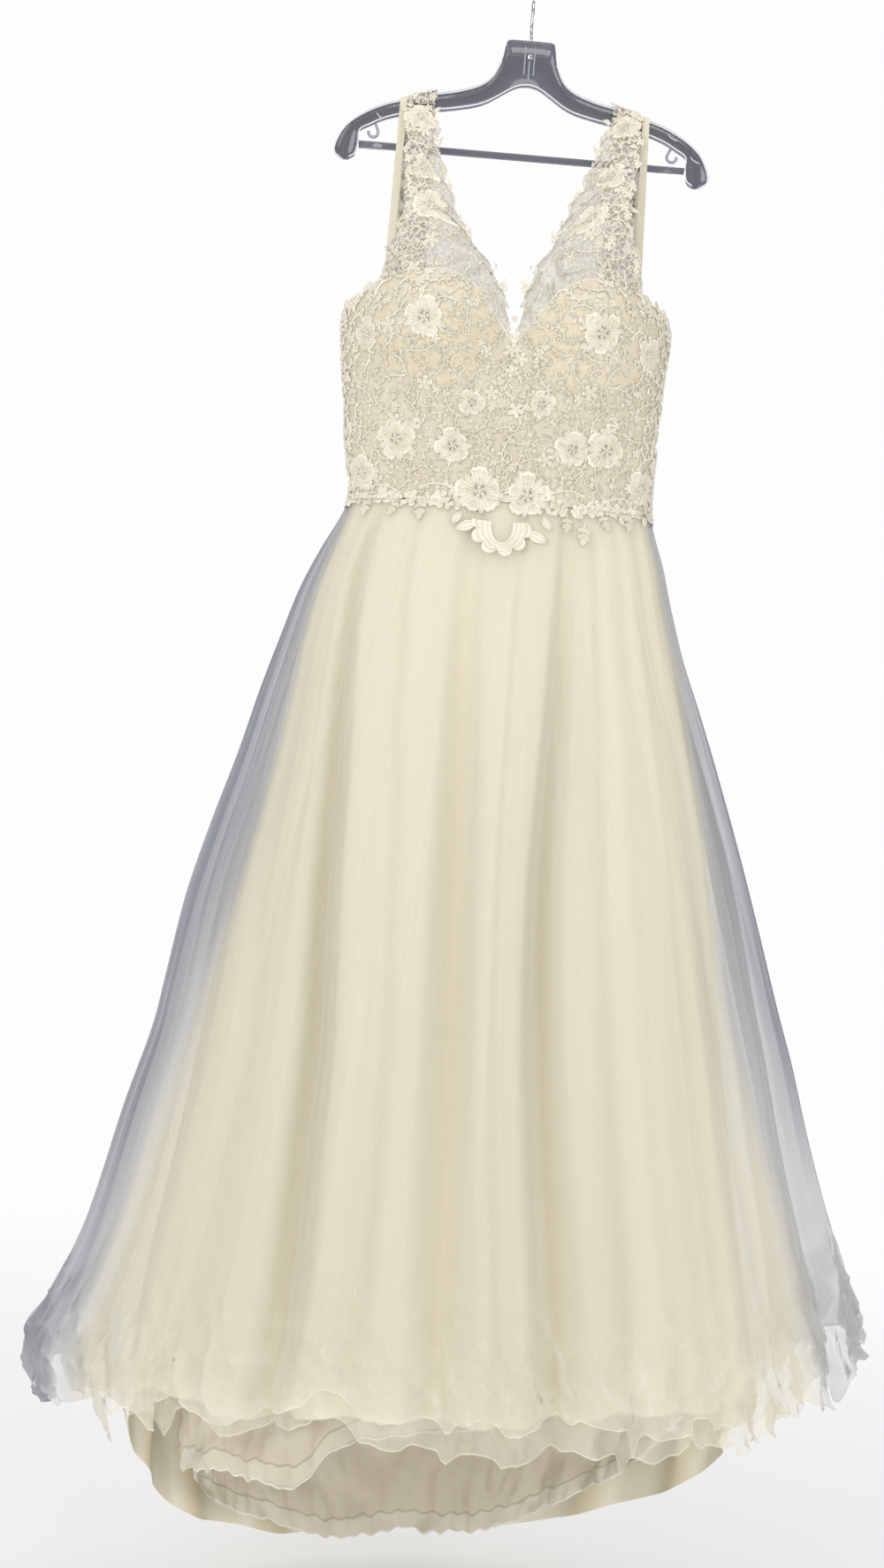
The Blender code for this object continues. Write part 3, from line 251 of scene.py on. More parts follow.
def bodice_edge(turn):
    left, right = zip(*BODICE_EDGE_LEFT), zip(*BODICE_EDGE_RIGHT)
    return np.where(turn >= 0, curve(*left, np.abs(turn)), curve(*right, np.abs(turn)))


def tulle_section(drop):
    return section_at(TULLE, drop)


def satin_section(drop):
    return section_at(SATIN, drop)


def under_tulle_section(drop):
    share = 0.5 + 0.14 * eased((drop - WAIST) / 0.5)
    inner, outer = satin_section(drop), tulle_section(drop)
    return Section(*(mixed(a, b, share) for a, b in zip(inner, outer)))


def lining_section(drop):
    folds = curve(
        [FOLDS_START, FOLDS_SHALLOW_AT, KNEE, HEM_LEVEL],
        [0.0] + [max(column) for column in list(zip(*FOLDS))[4:]],
        drop,
    )
    inset = SATIN_WALL + 5 * LAYER_GAP + folds + 0.005 * eased((drop - WAIST) / 0.05)
    s = satin_section(drop)
    return Section(drop, s.right - inset, s.left - inset, s.front - inset, s.back - inset)


def fold_depth(turn, drop):
    depth = np.zeros(np.broadcast(turn, drop).shape)
    for fold in FOLDS:
        runs = curve([WAIST, KNEE, HEM_LEVEL], [fold.waist, fold.knee, fold.hem], drop)
        away = (turn - runs + 180) % 360 - 180
        deep = curve(
            [FOLDS_START, FOLDS_SHALLOW_AT, KNEE, HEM_LEVEL],
            [0.0, fold.shallow, fold.middle, fold.deep],
            drop,
        )
        inside = np.abs(away) < fold.half_width
        depth += np.where(inside, deep * 0.5 * (1 + np.cos(np.pi * away / fold.half_width)), 0)
    return depth


def inset_from(outer, inner, turn):
    s, c = np.sin(np.radians(turn)), np.cos(np.radians(turn))
    sideways = np.where(s > 0, outer.left - inner.left, outer.right - inner.right)
    lengthways = np.where(c > 0, outer.front - inner.front, outer.back - inner.back)
    return sideways * s * s + lengthways * c * c


def wander(a, b, seed, waves=5):
    """A smooth uneven value from about -1 to 1 over two coordinates."""
    draw = np.random.default_rng(seed)
    value = 0
    for _ in range(waves):
        fa, fb = draw.uniform(0.5, 1.9, 2) * draw.choice([-1, 1], 2)
        value = value + np.sin(a * fa + b * fb + draw.uniform(0, 2 * math.pi)) / waves
    return 1.6 * value


# Small folds between the large ones, each with its own place, drift, depth and length
SmallFold = namedtuple("SmallFold", "turn drift half_width depth starts ends")


def small_folds(seed, apart, width, depth):
    draw = np.random.default_rng(seed)
    found, turn = [], -90.0
    while turn < 270:
        starts = draw.choice([0.595, 0.60, 0.66, 0.80, 1.05])
        found.append(SmallFold(
            turn, draw.uniform(-3.5, 3.5), width * draw.uniform(0.5, 1.8),
            depth * draw.uniform(0.2, 1.0), starts, starts + draw.uniform(0.35, 1.4),
        ))
        turn += apart * draw.uniform(0.3, 1.9)
    return found


def along_fold(fold, turn, drop):
    away = (turn - fold.turn - fold.drift * (drop - WAIST) + 180) % 360 - 180
    return away / fold.half_width, eased((drop - fold.starts) / 0.12) * eased((fold.ends - drop) / 0.30)


def small_fold_depth(folds, turn, drop):
    depth = np.zeros(np.broadcast(turn, drop).shape)
    for fold in folds:
        away, length = along_fold(fold, turn, drop)
        depth += np.exp(-away ** 2) * fold.depth * length * (0.35 + 0.65 * eased((drop - WAIST) / 0.5))
    return depth


def doubled(folds, turn, drop):
    """Where net lies double behind a fold's edge: it starts sharply at the edge and fades behind it."""
    value = np.zeros(np.broadcast(turn, drop).shape)
    for fold in folds[::2]:
        away, length = along_fold(fold, turn, drop)
        away = away * math.copysign(1, fold.drift)
        value += np.where(away > 0, np.exp(-away / 1.5), np.exp(-(away / 0.22) ** 2)) * length
    return np.clip(value, 0, 1.6)


def creases(value):
    """1 along sharp creases, falling to 0 between them."""
    return 1 - np.minimum(1, np.abs(value))


def crumple(turn, drop):
    """Slanting creases of net that has been lying on its hem, from 0 to 1."""
    a = turn * 0.55
    slow = creases(1.2 * wander(a * 0.55 + 8 * drop, drop * 24 - a * 0.3, 5))
    quick = creases(1.4 * wander(a * 1.1 - 20 * drop, drop * 52 + a * 0.5, 6))
    return 0.66 * slow + 0.34 * quick


# How much one layer of flat net hides
NET_OPACITY = 0.34
Skirt = namedtuple("Skirt", "name title section hem hem_wave folds flutter")
SKIRTS = {row[0]: Skirt(*row) for row in (
    ("tulle", "outer_tulle", tulle_section, TULLE_HEM, 0.006, small_folds(3, 6.5, 1.5, 0.0038), 0.013),
    ("under_tulle", "second_tulle", under_tulle_section, UNDER_TULLE_HEM, 0.006,
     small_folds(11, 7.5, 1.8, 0.0032), 0.011),
    ("satin", "satin_skirt", satin_section, SATIN_HEM, 0.004, small_folds(23, 11.0, 3.2, 0.0040), 0.0),
    ("lining", "skirt_lining", lining_section, LINING_HEM, 0.003,
     small_folds(31, 6.0, 1.9, 0.0060), 0.0),
)}


def skirt_point(skirt, turn, drop):
    """A point of a skirt layer, and the level direction that it would face without its folds."""
    if skirt.name == "lining":
        section = skirt.section(drop)
        outwards = ring_normal(section, turn, SKIRT_POWER)
        low = eased((drop - 1.35) / 0.3)
        depth = 0.007 * (1 + np.sin(np.radians(7 * turn + 25))) * eased((drop - 0.8) / 0.8)
        depth = depth + small_fold_depth(skirt.folds, turn, drop)
        wrinkles = 0.0085 * creases(1.3 * wander(turn * 0.22 + 12 * drop, drop * 26, 9))
        wrinkles = wrinkles + 0.0040 * creases(1.4 * wander(turn * 0.55 - 20 * drop, drop * 60, 10))
        depth = depth + low * (0.0110 - wrinkles)
        return on_ring(section, turn, SKIRT_POWER) - outwards * depth[..., None], outwards
    outer = tulle_section(drop)
    outwards = ring_normal(outer, turn, SKIRT_POWER)
    inset = inset_from(outer, skirt.section(drop), turn)
    flatter = 1 - 0.65 * eased((drop - 1.60) / 0.16) * (np.cos(np.radians(turn)) < 0)
    depth = inset + flatter * fold_depth(turn, drop) + small_fold_depth(skirt.folds, turn, drop)
    near_hem = eased((drop - round_table(skirt.hem, turn) + 0.17) / 0.15)
    if skirt.flutter:
        shifted = drop + 0.03 * (skirt.name == "under_tulle")
        depth = depth + skirt.flutter * near_hem * (0.9 - 2 * crumple(turn, shifted))
    return on_ring(outer, turn, SKIRT_POWER) - outwards * depth[..., None], outwards


def hem_drop(skirt, turn):
    wave = skirt.hem_wave * np.sin(np.radians(9 * turn + 40))
    drips = 1.1 * skirt.flutter * (wander(turn * 0.36, 0 * turn, 8) - 0.3)
    points = 1.5 * skirt.flutter * np.maximum(0, wander(turn * 0.85, 0 * turn, 12)) ** 2
    flutter = 0.003 * wander(turn * 0.8, 0 * turn, 13) if skirt.name == "lining" else 0
    return round_table(skirt.hem, turn) + wave + drips + points + flutter


# Meshes

def link(name, mesh, material):
    piece = bpy.data.objects.new(name, mesh)
    bpy.context.scene.collection.objects.link(piece)
    mesh.materials.append(material)
    mesh.shade_smooth()
    return piece


def grid_normals(points):
    down, across = np.gradient(points, axis=0), np.gradient(points, axis=1)
    return unit(np.cross(down, across))


def cloth(name, points, material, uv, marks=None):
    """A sheet of cloth from a grid of points, with its own map and named values at its points."""
    rows, columns = points.shape[:2]
    index = np.arange(rows * columns).reshape(rows, columns)
    corners = [index[:-1, :-1], index[1:, :-1], index[1:, 1:], index[:-1, 1:]]
    quads = np.stack(corners, axis=-1).reshape(-1, 4)
    mesh = bpy.data.meshes.new(name)
    mesh.from_pydata(points.reshape(-1, 3).tolist(), [], quads.tolist())
    layer = mesh.uv_layers.new(name="cloth map")
    layer.data.foreach_set("uv", uv.reshape(-1, 2)[quads.reshape(-1)].astype(np.float32).ravel())
    for label, values in (marks or {}).items():
        mark = mesh.attributes.new(label, "FLOAT", "POINT")
        mark.data.foreach_set("value", values.astype(np.float32).ravel())
    return link(name, mesh, material)


def outside(points, section, low, high):
    """How far a point lies past a layer's side edge as seen from the front, from 0 to 1."""
    edge = np.where(points[..., 0] > 0, section.left, section.right)
    return eased((np.abs(points[..., 0]) / edge - low) / (high - low))


def section_between(drop, share):
    """A section part of the way out from the satin to the outer tulle."""
    return Section(*(mixed(a, b, share) for a, b in zip(satin_section(drop), tulle_section(drop))))


def make_skirt_panel(name, skirt, first, last, columns, rows, material, sheer):
    turn = np.linspace(first, last, columns)[None, :] + np.zeros((rows, 1))
    share = 1 - (1 - np.linspace(0, 1, rows)[:, None]) ** 1.25
    hem = hem_drop(skirt, turn)
    drop = mixed(WAIST + 0.0005, hem, share)
    points, outwards = skirt_point(skirt, turn, drop)
    uv = np.stack([turn / 360 * 2.2, drop], axis=-1)
    depth = fold_depth(turn, drop) + small_fold_depth(skirt.folds, turn, drop)
    # How deep the folds lie sets the painted shade in their valleys.
    marks = {"from hem": hem - drop, "valley": np.clip((depth - 0.008) / 0.026, 0, 1)}
    if sheer:
        left = points[..., 0] > 0
        facing = np.abs((grid_normals(points) * outwards).sum(axis=-1))
        # Beside the satin, as seen from the front, the net takes a grey tone that is partly its own and
        # partly painted shade.
        beside = outside(points, section_between(drop, 0.50 * eased((drop - 1.05) / 0.4)), 0.94, 1.03)
        farthest = outside(points, section_between(drop, np.where(left, 0.80, 0.72)), 0.985, 1.0)
        low = eased((drop - (hem - 0.16)) / 0.12)
        edges = doubled(skirt.folds, turn, drop)
        sharp = low * crumple(turn, drop) ** 9
        layers = 1 / np.maximum(0.3, facing) + edges * (0.25 + 1.1 * beside) + 1.2 * sharp
        marks["net weight"] = 1 - (1 - NET_OPACITY) ** layers
        marks["doubled"] = np.clip(edges * (0.15 + 0.85 * beside) + 0.9 * sharp, 0, 1)
        marks["past satin"] = beside
        # Painted shade: the net turns dark near the skirt's sides as seen from the front, fading lower
        # down, most on the left, and a little beside the satin higher up.
        fades_left = 0.12 + 0.88 * eased((1.42 - drop) / 0.26)
        fades = np.where(left, fades_left, 1 - 0.45 * eased((drop - 1.25) / 0.3))
        marks["slate"] = np.maximum(farthest * fades, 0.42 * beside * eased((1.34 - drop) / 0.40))
    return cloth(name, points, material, uv, marks)


# Materials

def shade(*value):
    """Linear colour of an sRGB colour given from 0 to 255."""
    return tuple(((v / 255 + 0.055) / 1.055) ** 2.4 for v in value) + (1.0,)


class Nodes:
    """The nodes of a material or of a group, with short ways to add and join them."""

    def __init__(self, tree):
        self.tree = tree

    def feed(self, socket, value):
        if isinstance(value, bpy.types.NodeSocket):
            self.tree.links.new(value, socket)
        elif value is not None:
            socket.default_value = value

    def add(self, kind, inputs=None, **settings):
        node = self.tree.nodes.new(f"ShaderNode{kind}")
        for label, value in settings.items():
            setattr(node, label, value)
        for label, value in (inputs or {}).items():
            self.feed(node.inputs[label], value)
        return node

    def calculate(self, operation, first, second=None, clamp=False):
        return self.add("Math", {0: first, 1: second}, operation=operation, use_clamp=clamp).outputs[0]

    def mix(self, factor, first, second):
        return self.add("Mix", {0: factor, 6: first, 7: second}, data_type="RGBA").outputs[2]

    def remap(self, value, low, high, to_low=0, to_high=1):
        ends = {"From Min": low, "From Max": high, "To Min": to_low, "To Max": to_high}
        return self.add("MapRange", {"Value": value, **ends}).outputs[0]

    def mark(self, name):
        return self.add("Attribute", attribute_name=name).outputs["Fac"]

    def cloth_place(self):
        return self.add("UVMap", uv_map="cloth map").outputs[0]

    def object_place(self):
        return self.add("TexCoord").outputs["Object"]

    def noise(self, scale, detail=3):
        given = {"Scale": scale, "Detail": detail, "Vector": self.object_place()}
        return self.add("TexNoise", given).outputs[0]

    def corded_ground(self, scale):
        """A network of thin cords between uneven cells, from 0 to 1."""
        given = {"Scale": scale, "Vector": self.object_place()}
        cells = self.add("TexVoronoi", given, feature="DISTANCE_TO_EDGE")
        return self.remap(cells.outputs["Distance"], 0.04, 0.13, 1, 0)

    def bump(self, height, distance, strength):
        given = {"Distance": distance, "Strength": strength, "Height": height}
        return self.add("Bump", given).outputs[0]


class Look(Nodes):
    """A material with its shader."""

    def __init__(self, name):
        self.made = bpy.data.materials.new(name)
        self.made.use_nodes = True
        super().__init__(self.made.node_tree)
        self.shader = self.tree.nodes["Principled BSDF"]

    def finished(self, **inputs):
        for label, value in inputs.items():
            self.feed(self.shader.inputs[label.replace("_", " ")], value)
        return self.made


def new_group(name, inputs, outputs):
    tree = bpy.data.node_groups.new(name, "ShaderNodeTree")
    for label, value in inputs.items():
        made = tree.interface.new_socket(label, in_out="INPUT", socket_type="NodeSocketFloat")
        made.default_value = value
    for label in outputs:
        tree.interface.new_socket(label, in_out="OUTPUT", socket_type="NodeSocketFloat")
    given, out = tree.nodes.new("NodeGroupInput"), tree.nodes.new("NodeGroupOutput")
    return Nodes(tree), given.outputs, out.inputs


def make_weave_group():
    """Crossing threads over the cloth's own map, with slow uneven patches."""
    m, given, out = new_group(
        "woven threads", {"Threads per metre": 900.0, "Patch size": 14.0}, ("Height", "Patches")
    )
    place = m.cloth_place()
    axes = m.add("SeparateXYZ", {0: place}).outputs
    turns = m.calculate("MULTIPLY", given[0], 2 * math.pi)
    waves = [m.calculate("SINE", m.calculate("MULTIPLY", axis, turns)) for axis in axes[:2]]
    m.feed(out[0], m.calculate("MULTIPLY", *waves))
    m.feed(out[1], m.add("TexNoise", {"Detail": 4, "Vector": place, "Scale": given[1]}).outputs[0])
    return m.tree


def make_streak_group():
    """Long thin streaks that run down the cloth, as in gathered net."""
    m, given, out = new_group(
        "long streaks", {"Streaks": 60.0, "Length": 1.2, "Detail": 4.0}, ("Streak",)
    )
    scale = m.add("CombineXYZ", {0: given[0], 1: given[1]}).outputs[0]
    stretched = m.add("VectorMath", {0: m.cloth_place(), 1: scale}, operation="MULTIPLY").outputs[0]
    uneven = {"Scale": 1.0, "Roughness": 0.6, "Distortion": 0.4, "Detail": given[2], "Vector": stretched}
    m.feed(out[0], m.add("TexNoise", uneven).outputs[0])
    return m.tree


WEAVE, STREAKS = make_weave_group(), make_streak_group()


def make_bodice_cloth():
    """Net over a lining: paler over the cups, with a network of fine cords."""
    m = Look("ivory bodice cloth")
    weave = m.add("Group", {"Threads per metre": 900.0, "Patch size": 9.0}, node_tree=WEAVE).outputs
    patches = m.remap(weave[1], 0.35, 0.65)
    body = m.mix(patches, shade(223, 215, 194), shade(211, 202, 178))
    cup = m.mix(patches, shade(230, 221, 196), shade(218, 208, 179))
    cords = m.calculate("MULTIPLY", m.corded_ground(120), 0.4)
    return m.finished(
        Base_Color=m.mix(cords, m.mix(m.mark("cup"), body, cup), shade(238, 231, 208)),
        Roughness=0.68, Sheen_Weight=0.15, Specular_IOR_Level=0.25,
        Normal=m.bump(m.calculate("ADD", m.calculate("MULTIPLY", weave[0], 0.2), cords), 0.0008, 0.7),
    )


def make_lace():
    """Matte corded thread, slightly uneven in tone, with net between its cords. The net tone in each
    motif's low places is partly the net's own and partly painted shade.
    """
    m = Look("ivory corded lace")
    patches = m.remap(m.noise(60), 0.35, 0.65)
    thread = m.mix(patches, shade(251, 246, 231), shade(243, 237, 218))
    # Painted shade: the low places of each motif take the darker net tone, which is also the net's own.
    net = m.mix(patches, shade(231, 224, 204), shade(220, 212, 190))
    return m.finished(
        Base_Color=m.mix(m.remap(m.mark("cord"), 0.25, 0.95), net, thread),
        Roughness=0.62, Sheen_Weight=0.12, Specular_IOR_Level=0.35,
        Normal=m.bump(m.noise(1500, 2), 0.0004, 0.45),
    )


def make_satin(name, light, valley, roughness, streaks):
    m = Look(name)
    given = {"Streaks": streaks, "Length": 1.4, "Detail": 2.0}
    streak = m.add("Group", given, node_tree=STREAKS).outputs[0]
    # Painted shade: the cloth takes its darker tone down in its fold valleys, and a little along its
    # streaks.
    base = m.mix(m.remap(m.mark("valley"), 0.05, 0.9), light, valley)
    return m.finished(
        Base_Color=m.mix(m.remap(streak, 0.45, 0.75, 0, 0.15), base, valley),
        Roughness=roughness, Sheen_Weight=0.1, Specular_IOR_Level=0.4,
        Normal=m.bump(streak, 0.0010, 0.25),
    )


def make_lining_cloth():
    """Lining with a stitched hem: a pale bound edge, and a line of stitches above it."""
    m = Look("ivory lining")
    weave = m.add("Group", {"Threads per metre": 700.0, "Patch size": 10.0}, node_tree=WEAVE).outputs
    base = m.mix(m.remap(weave[1], 0.3, 0.7), shade(224, 215, 194), shade(208, 198, 174))
    hem, stitched_at = m.mark("from hem"), 0.024
    edge = m.remap(hem, 0.0010, 0.0034, 1, 0)
    stitch = m.calculate("ABSOLUTE", m.calculate("SUBTRACT", hem, stitched_at))
    turned_in = m.mix(m.remap(hem, 0.023, 0.025, 0.28, 0), base, shade(240, 234, 218))
    lined = m.mix(m.remap(stitch, 0.0006, 0.0022, 0.5, 0), turned_in, shade(160, 150, 130))
    height = m.calculate("ADD", m.noise(17, 4), m.calculate("MULTIPLY", edge, 0.3))
    return m.finished(
        Base_Color=m.mix(edge, lined, shade(250, 247, 238)), Roughness=0.5, Specular_IOR_Level=0.35,
        Normal=m.bump(height, 0.010, 0.55),
    )


def make_net(name, front, beside, past, weights):
    """Sheer net. Its three tones and weights are for over the satin, for beside the satin, and for net
    with nothing pale behind it. The grey beside the satin is partly the net's own tone and partly
    painted shade, the dark tone is painted shade, and pale is painted in as a sheen at the rims."""
    m = Look(name)
    given = {"Streaks": 48.0, "Length": 0.9, "Detail": 3.0}
    streak = m.add("Group", given, node_tree=STREAKS).outputs[0]
    past_satin, slate = m.mark("past satin"), m.mark("slate")
    # The grey beside the satin is partly painted shade, and the dark tone is painted shade.
    tone = m.mix(slate, m.mix(past_satin, front, beside), past)
    # Painted sheen: the net turns pale where it faces away.
    rim = m.remap(m.add("LayerWeight", {"Blend": 0.5}).outputs["Facing"], 0.93, 0.99, 0, 0.7)
    beside_streak = m.calculate("MULTIPLY", past_satin, m.remap(streak, 0.5, 0.8, 0, 0.4))
    double = m.calculate("MULTIPLY", m.mark("doubled"), 0.45)
    # Pale mixes the painted sheen with paler streaks beside the satin and net that lies double.
    pale = m.calculate("MAXIMUM", m.calculate("MAXIMUM", rim, beside_streak), double)
    weight = m.calculate("MULTIPLY", m.mark("net weight"), m.remap(streak, 0.3, 0.75, 0.93, 1.08))
    weight = m.calculate("MULTIPLY", weight, m.remap(past_satin, 0, 1, weights[0], weights[1]))
    weight = m.calculate("MULTIPLY", weight, m.remap(slate, 0, 1, 1, weights[2] / weights[1]))
    edge = m.remap(m.mark("from hem"), 0.0004, 0.0022, 0.5, 0)
    return m.finished(
        Base_Color=m.mix(pale, tone, shade(240, 240, 238)),
        Alpha=m.calculate("ADD", weight, edge, clamp=True),
        Roughness=0.8, Sheen_Weight=0.2, Specular_IOR_Level=0.15, Normal=m.bump(streak, 0.0010, 0.4),
    )


def make_strap_net():
    m = Look("sheer strap net")
    weave = m.add("Group", {"Threads per metre": 650.0, "Patch size": 20.0}, node_tree=WEAVE).outputs
    cords = m.corded_ground(150)
    woven = m.remap(weave[0], -1, 1, 0.52, 0.72)
    return m.finished(
        Base_Color=m.mix(cords, shade(176, 171, 161), shade(222, 216, 201)),
        Alpha=m.calculate("ADD", woven, m.calculate("MULTIPLY", cords, 0.4), clamp=True),
        Roughness=0.8, Sheen_Weight=0.2,
    )


def make_plastic(name, web, rim, web_alpha, rim_alpha):
    """Clear plastic with painted shade and painted highlights: its web is painted dark, and its rims
    pale, paler still where they face away.
    """
    m = Look(name)
    mark = m.mark("rim")
    # Painted highlight: the rims turn pale where they face away.
    painted_rim_highlight = m.calculate("MULTIPLY", m.add("LayerWeight", {"Blend": 0.42}).outputs["Facing"], mark)
    return m.finished(
        Base_Color=m.mix(painted_rim_highlight, m.mix(mark, web, rim), shade(214, 216, 224)),
        Alpha=m.remap(mark, 0, 1, web_alpha, rim_alpha),
        Roughness=0.10, IOR=1.5, Coat_Weight=0.6, Coat_Roughness=0.05,
    )


def make_chrome():
    m = Look("chromed wire")
    uneven = m.remap(m.noise(220), 0.3, 0.7, 0.12, 0.24)
    return m.finished(Base_Color=(0.62, 0.62, 0.65, 1), Metallic=1.0, Roughness=uneven)


# The second tone of each satin is painted shade for its folds and streaks.
SKIRT_SATIN = make_satin("ivory skirt satin", shade(247, 241, 220), shade(230, 221, 190), 0.5, 30.0)
RIBBON_SATIN = make_satin("ivory ribbon satin", shade(224, 216, 193), shade(210, 200, 172), 0.35, 90.0)
LINING_CLOTH = make_lining_cloth()
# The dark tones are painted shade of net with nothing pale behind it; the greys beside the satin are
# partly the nets' own tone and partly painted shade.
OVER_SATIN, OUTER_PAINTED_DARK, INNER_PAINTED_DARK = shade(237, 232, 214), shade(101, 105, 126), shade(150, 152, 160)
OUTER_NET = make_net("outer tulle", OVER_SATIN, shade(200, 201, 203), OUTER_PAINTED_DARK, (0.9, 0.95, 1.45))
INNER_NET = make_net("second tulle", OVER_SATIN, shade(204, 204, 204), INNER_PAINTED_DARK, (0.9, 1.0, 1.05))
STRAP_NET = make_strap_net()
BODICE_CLOTH = make_bodice_cloth()
LACE = make_lace()
# The pale edge tone is for painted highlights along the hanger's rims and on its web.
RIB_TONE, HIGHLIGHT_TONE = shade(166, 168, 180), shade(226, 228, 234)
# The dark web tone is painted shade, and the paler rim tone is a painted highlight.
PLASTIC = make_plastic("clear smoky plastic", shade(42, 45, 64), shade(112, 114, 128), 0.68, 0.86)
BRIGHT_PLASTIC = make_plastic("clear plastic rib", RIB_TONE, RIB_TONE, 0.9, 0.9)
HIGHLIGHT_PLASTIC = make_plastic("clear plastic edge", HIGHLIGHT_TONE, HIGHLIGHT_TONE, 0.95, 0.95)
CHROME = make_chrome()


def dress(piece, slot, *nodes):
    """Puts a piece on the one body, in place of the plain solids it stands for. Its slot is not used."""
    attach(piece, "root")
    if nodes:
        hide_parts(*nodes)


# The skirts: two layers of tulle over satin, and a lining that shows at the hem

def make_skirts():
    # For each layer: its cloth, and its grid's columns and rows on the front and on the back
    layers = {
        "tulle": (OUTER_NET, (370, 112), (270, 100)), "under_tulle": (INNER_NET, (270, 90), (200, 80)),
        "satin": (SKIRT_SATIN, (230, 80), (200, 80)), "lining": (LINING_CLOTH, (230, 90), (230, 90)),
    }
    for k, (side, first, last) in enumerate((("front", -90, 90), ("back", 90, 270))):
        for key, skirt in SKIRTS.items():
            material, *sizes = layers[key]
            sheer = key in ("tulle", "under_tulle")
            title = f"{skirt.title}_{side}"
            piece = make_skirt_panel(title, skirt, first, last, *sizes[k], material, sheer)
            dress(piece, "sheer_tulle" if sheer else key, f"{key}_{side}")


make_skirts()


# The bodice: boned panels over moulded cups

Bone = namedtuple("Bone", "turn rise half_width")
BONES = table(Bone, [
    (-41, 0.0011, 1.3), (-17, 0.0010, 1.0), (5.5, 0.0007, 0.9), (22, 0.0010, 1.0), (42, 0.0011, 1.3),
    (-62, 0.0007, 1.6), (62, 0.0007, 1.6), (90, 0.0006, 2.6), (-90, 0.0006, 2.6), (119, 0.0009, 1.6),
    (-119, 0.0009, 1.6), (168, 0.0008, 1.0), (-168, 0.0008, 1.0),
])


def bodice_shape(turn, drop):
    """The bodice's outside, with its boning raised and the cloth a little slack between the bones."""
    rise = 0.0004 * wander(turn * 0.21, drop * 60, 17)
    for bone in BONES:
        lying = eased((drop - bodice_edge(turn) - 0.035) / 0.05)
        rise = rise + bone.rise * np.exp(-((turn - bone.turn) / bone.half_width) ** 2) * lying
    outwards = ring_normal(section_at(BODICE, drop), turn, BODICE_POWER)
    return bodice_point(turn, drop) + outwards * rise[..., None]


def make_bodice():
    spans = [("bodice_front", -PRINCESS_SEAM, PRINCESS_SEAM)]
    for side, sign in (("left", 1), ("right", -1)):
        for node, near, far in (
            ("cup_panel", PRINCESS_SEAM, SIDE_FRONT_SEAM), ("side", SIDE_FRONT_SEAM, SIDE_BACK_SEAM),
            ("bodice_back", SIDE_BACK_SEAM, 180 - CENTRE_BACK_GAP),
        ):
            spans.append((f"{node}_{side}", *sorted((sign * near, sign * far))))
    rows, columns = 60, 46
    for node, first, last in spans:
        turn = np.linspace(first, last, columns)[None, :] + np.zeros((rows, 1))
        drop = mixed(bodice_edge(turn), WAIST, np.linspace(0, 1, rows)[:, None])
        points = bodice_shape(turn, drop)
        cups = np.zeros_like(turn)
        for cup in CUPS:
            inside = eased((1.02 - cup_distance(cup, points, drop)) / 0.14)
            cups = np.maximum(cups, inside * (np.cos(np.radians(turn)) > 0))
        uv = np.stack([turn / 360 * BODICE_ROUND, drop], axis=-1)
        dress(cloth(f"{node}_cloth", points, BODICE_CLOTH, uv, {"cup": cups}), "bodice_cloth", node)


BODICE_ROUND = 0.85
make_bodice()


def garment_shape(turn, rise):
    """The outside of the bodice and the top of the skirt, for lace that lies across the waist seam."""
    drop = -rise
    skirt = on_ring(tulle_section(np.maximum(drop, WAIST)), turn, SKIRT_POWER)
    skirt[..., 2] = -drop
    return np.where((drop < WAIST)[..., None], bodice_shape(turn, np.minimum(drop, WAIST)), skirt)


# The straps

def strap_shape(sign):
    """(share to the right as seen from the front, share up) to a point of a sheer front strap."""
    drops, outers, inners, fronts = zip(*(LEFT_STRAP if sign > 0 else RIGHT_STRAP))

    def surface(right, up):
        across = 0.5 - sign * (right - 0.5)
        turn = sign * mixed(*STRAP_FOOT_TURNS, across)
        foot = bodice_point(turn, bodice_edge(turn) - 3 * SEAM_GAP)
        drop = mixed(-foot[..., 2], drops[0], up)
        hanging = eased(up * 2.4)
        x = sign * mixed(curve(drops, outers, drop), curve(drops, inners, drop), across)
        y = -curve(drops, fronts, drop)
        edge = 2 * eased(across * 1.4 - 0.2) - 1
        scallop = sign * 0.0022 * np.sin(up * 46) * edge * eased(up * 6) * eased((1 - up) * 8)
        x, y = mixed(foot[..., 0], x, hanging) - scallop, mixed(foot[..., 1], y, hanging)
        return np.stack([x, y, -drop], axis=-1)

    return surface


def on_hanger(x, y, down):
    """A point of the hanger, which hangs a little lower on the left."""
    c, s = math.cos(HANGER_TILT), math.sin(HANGER_TILT)
    return np.array([x * c - down * s, y, -NECK_TOP - down * c - x * s])


def over_the_arm(x, clear):
    """Points (y, drop) of a line that passes over the hanger's arm from front to back."""
    side = math.copysign(1, x)
    edge = [on_hanger(side * pair.top_x, 0, pair.top_down) for pair in HANGER_HALF[:14]]
    near, far = next((a, b) for a, b in zip(edge, edge[1:]) if abs(a[0]) <= abs(x) <= abs(b[0]))
    crest = -mixed(near[2], far[2], (x - near[0]) / (far[0] - near[0]))
    corner = HANGER_THICK / 2
    points = [(-corner - clear, crest + 0.012)]
    for a in np.radians(np.linspace(0, 90, 7)):
        points.append((-corner - clear * math.cos(a), crest - clear * math.sin(a)))
    return points + [(-y, drop) for y, drop in reversed(points)]


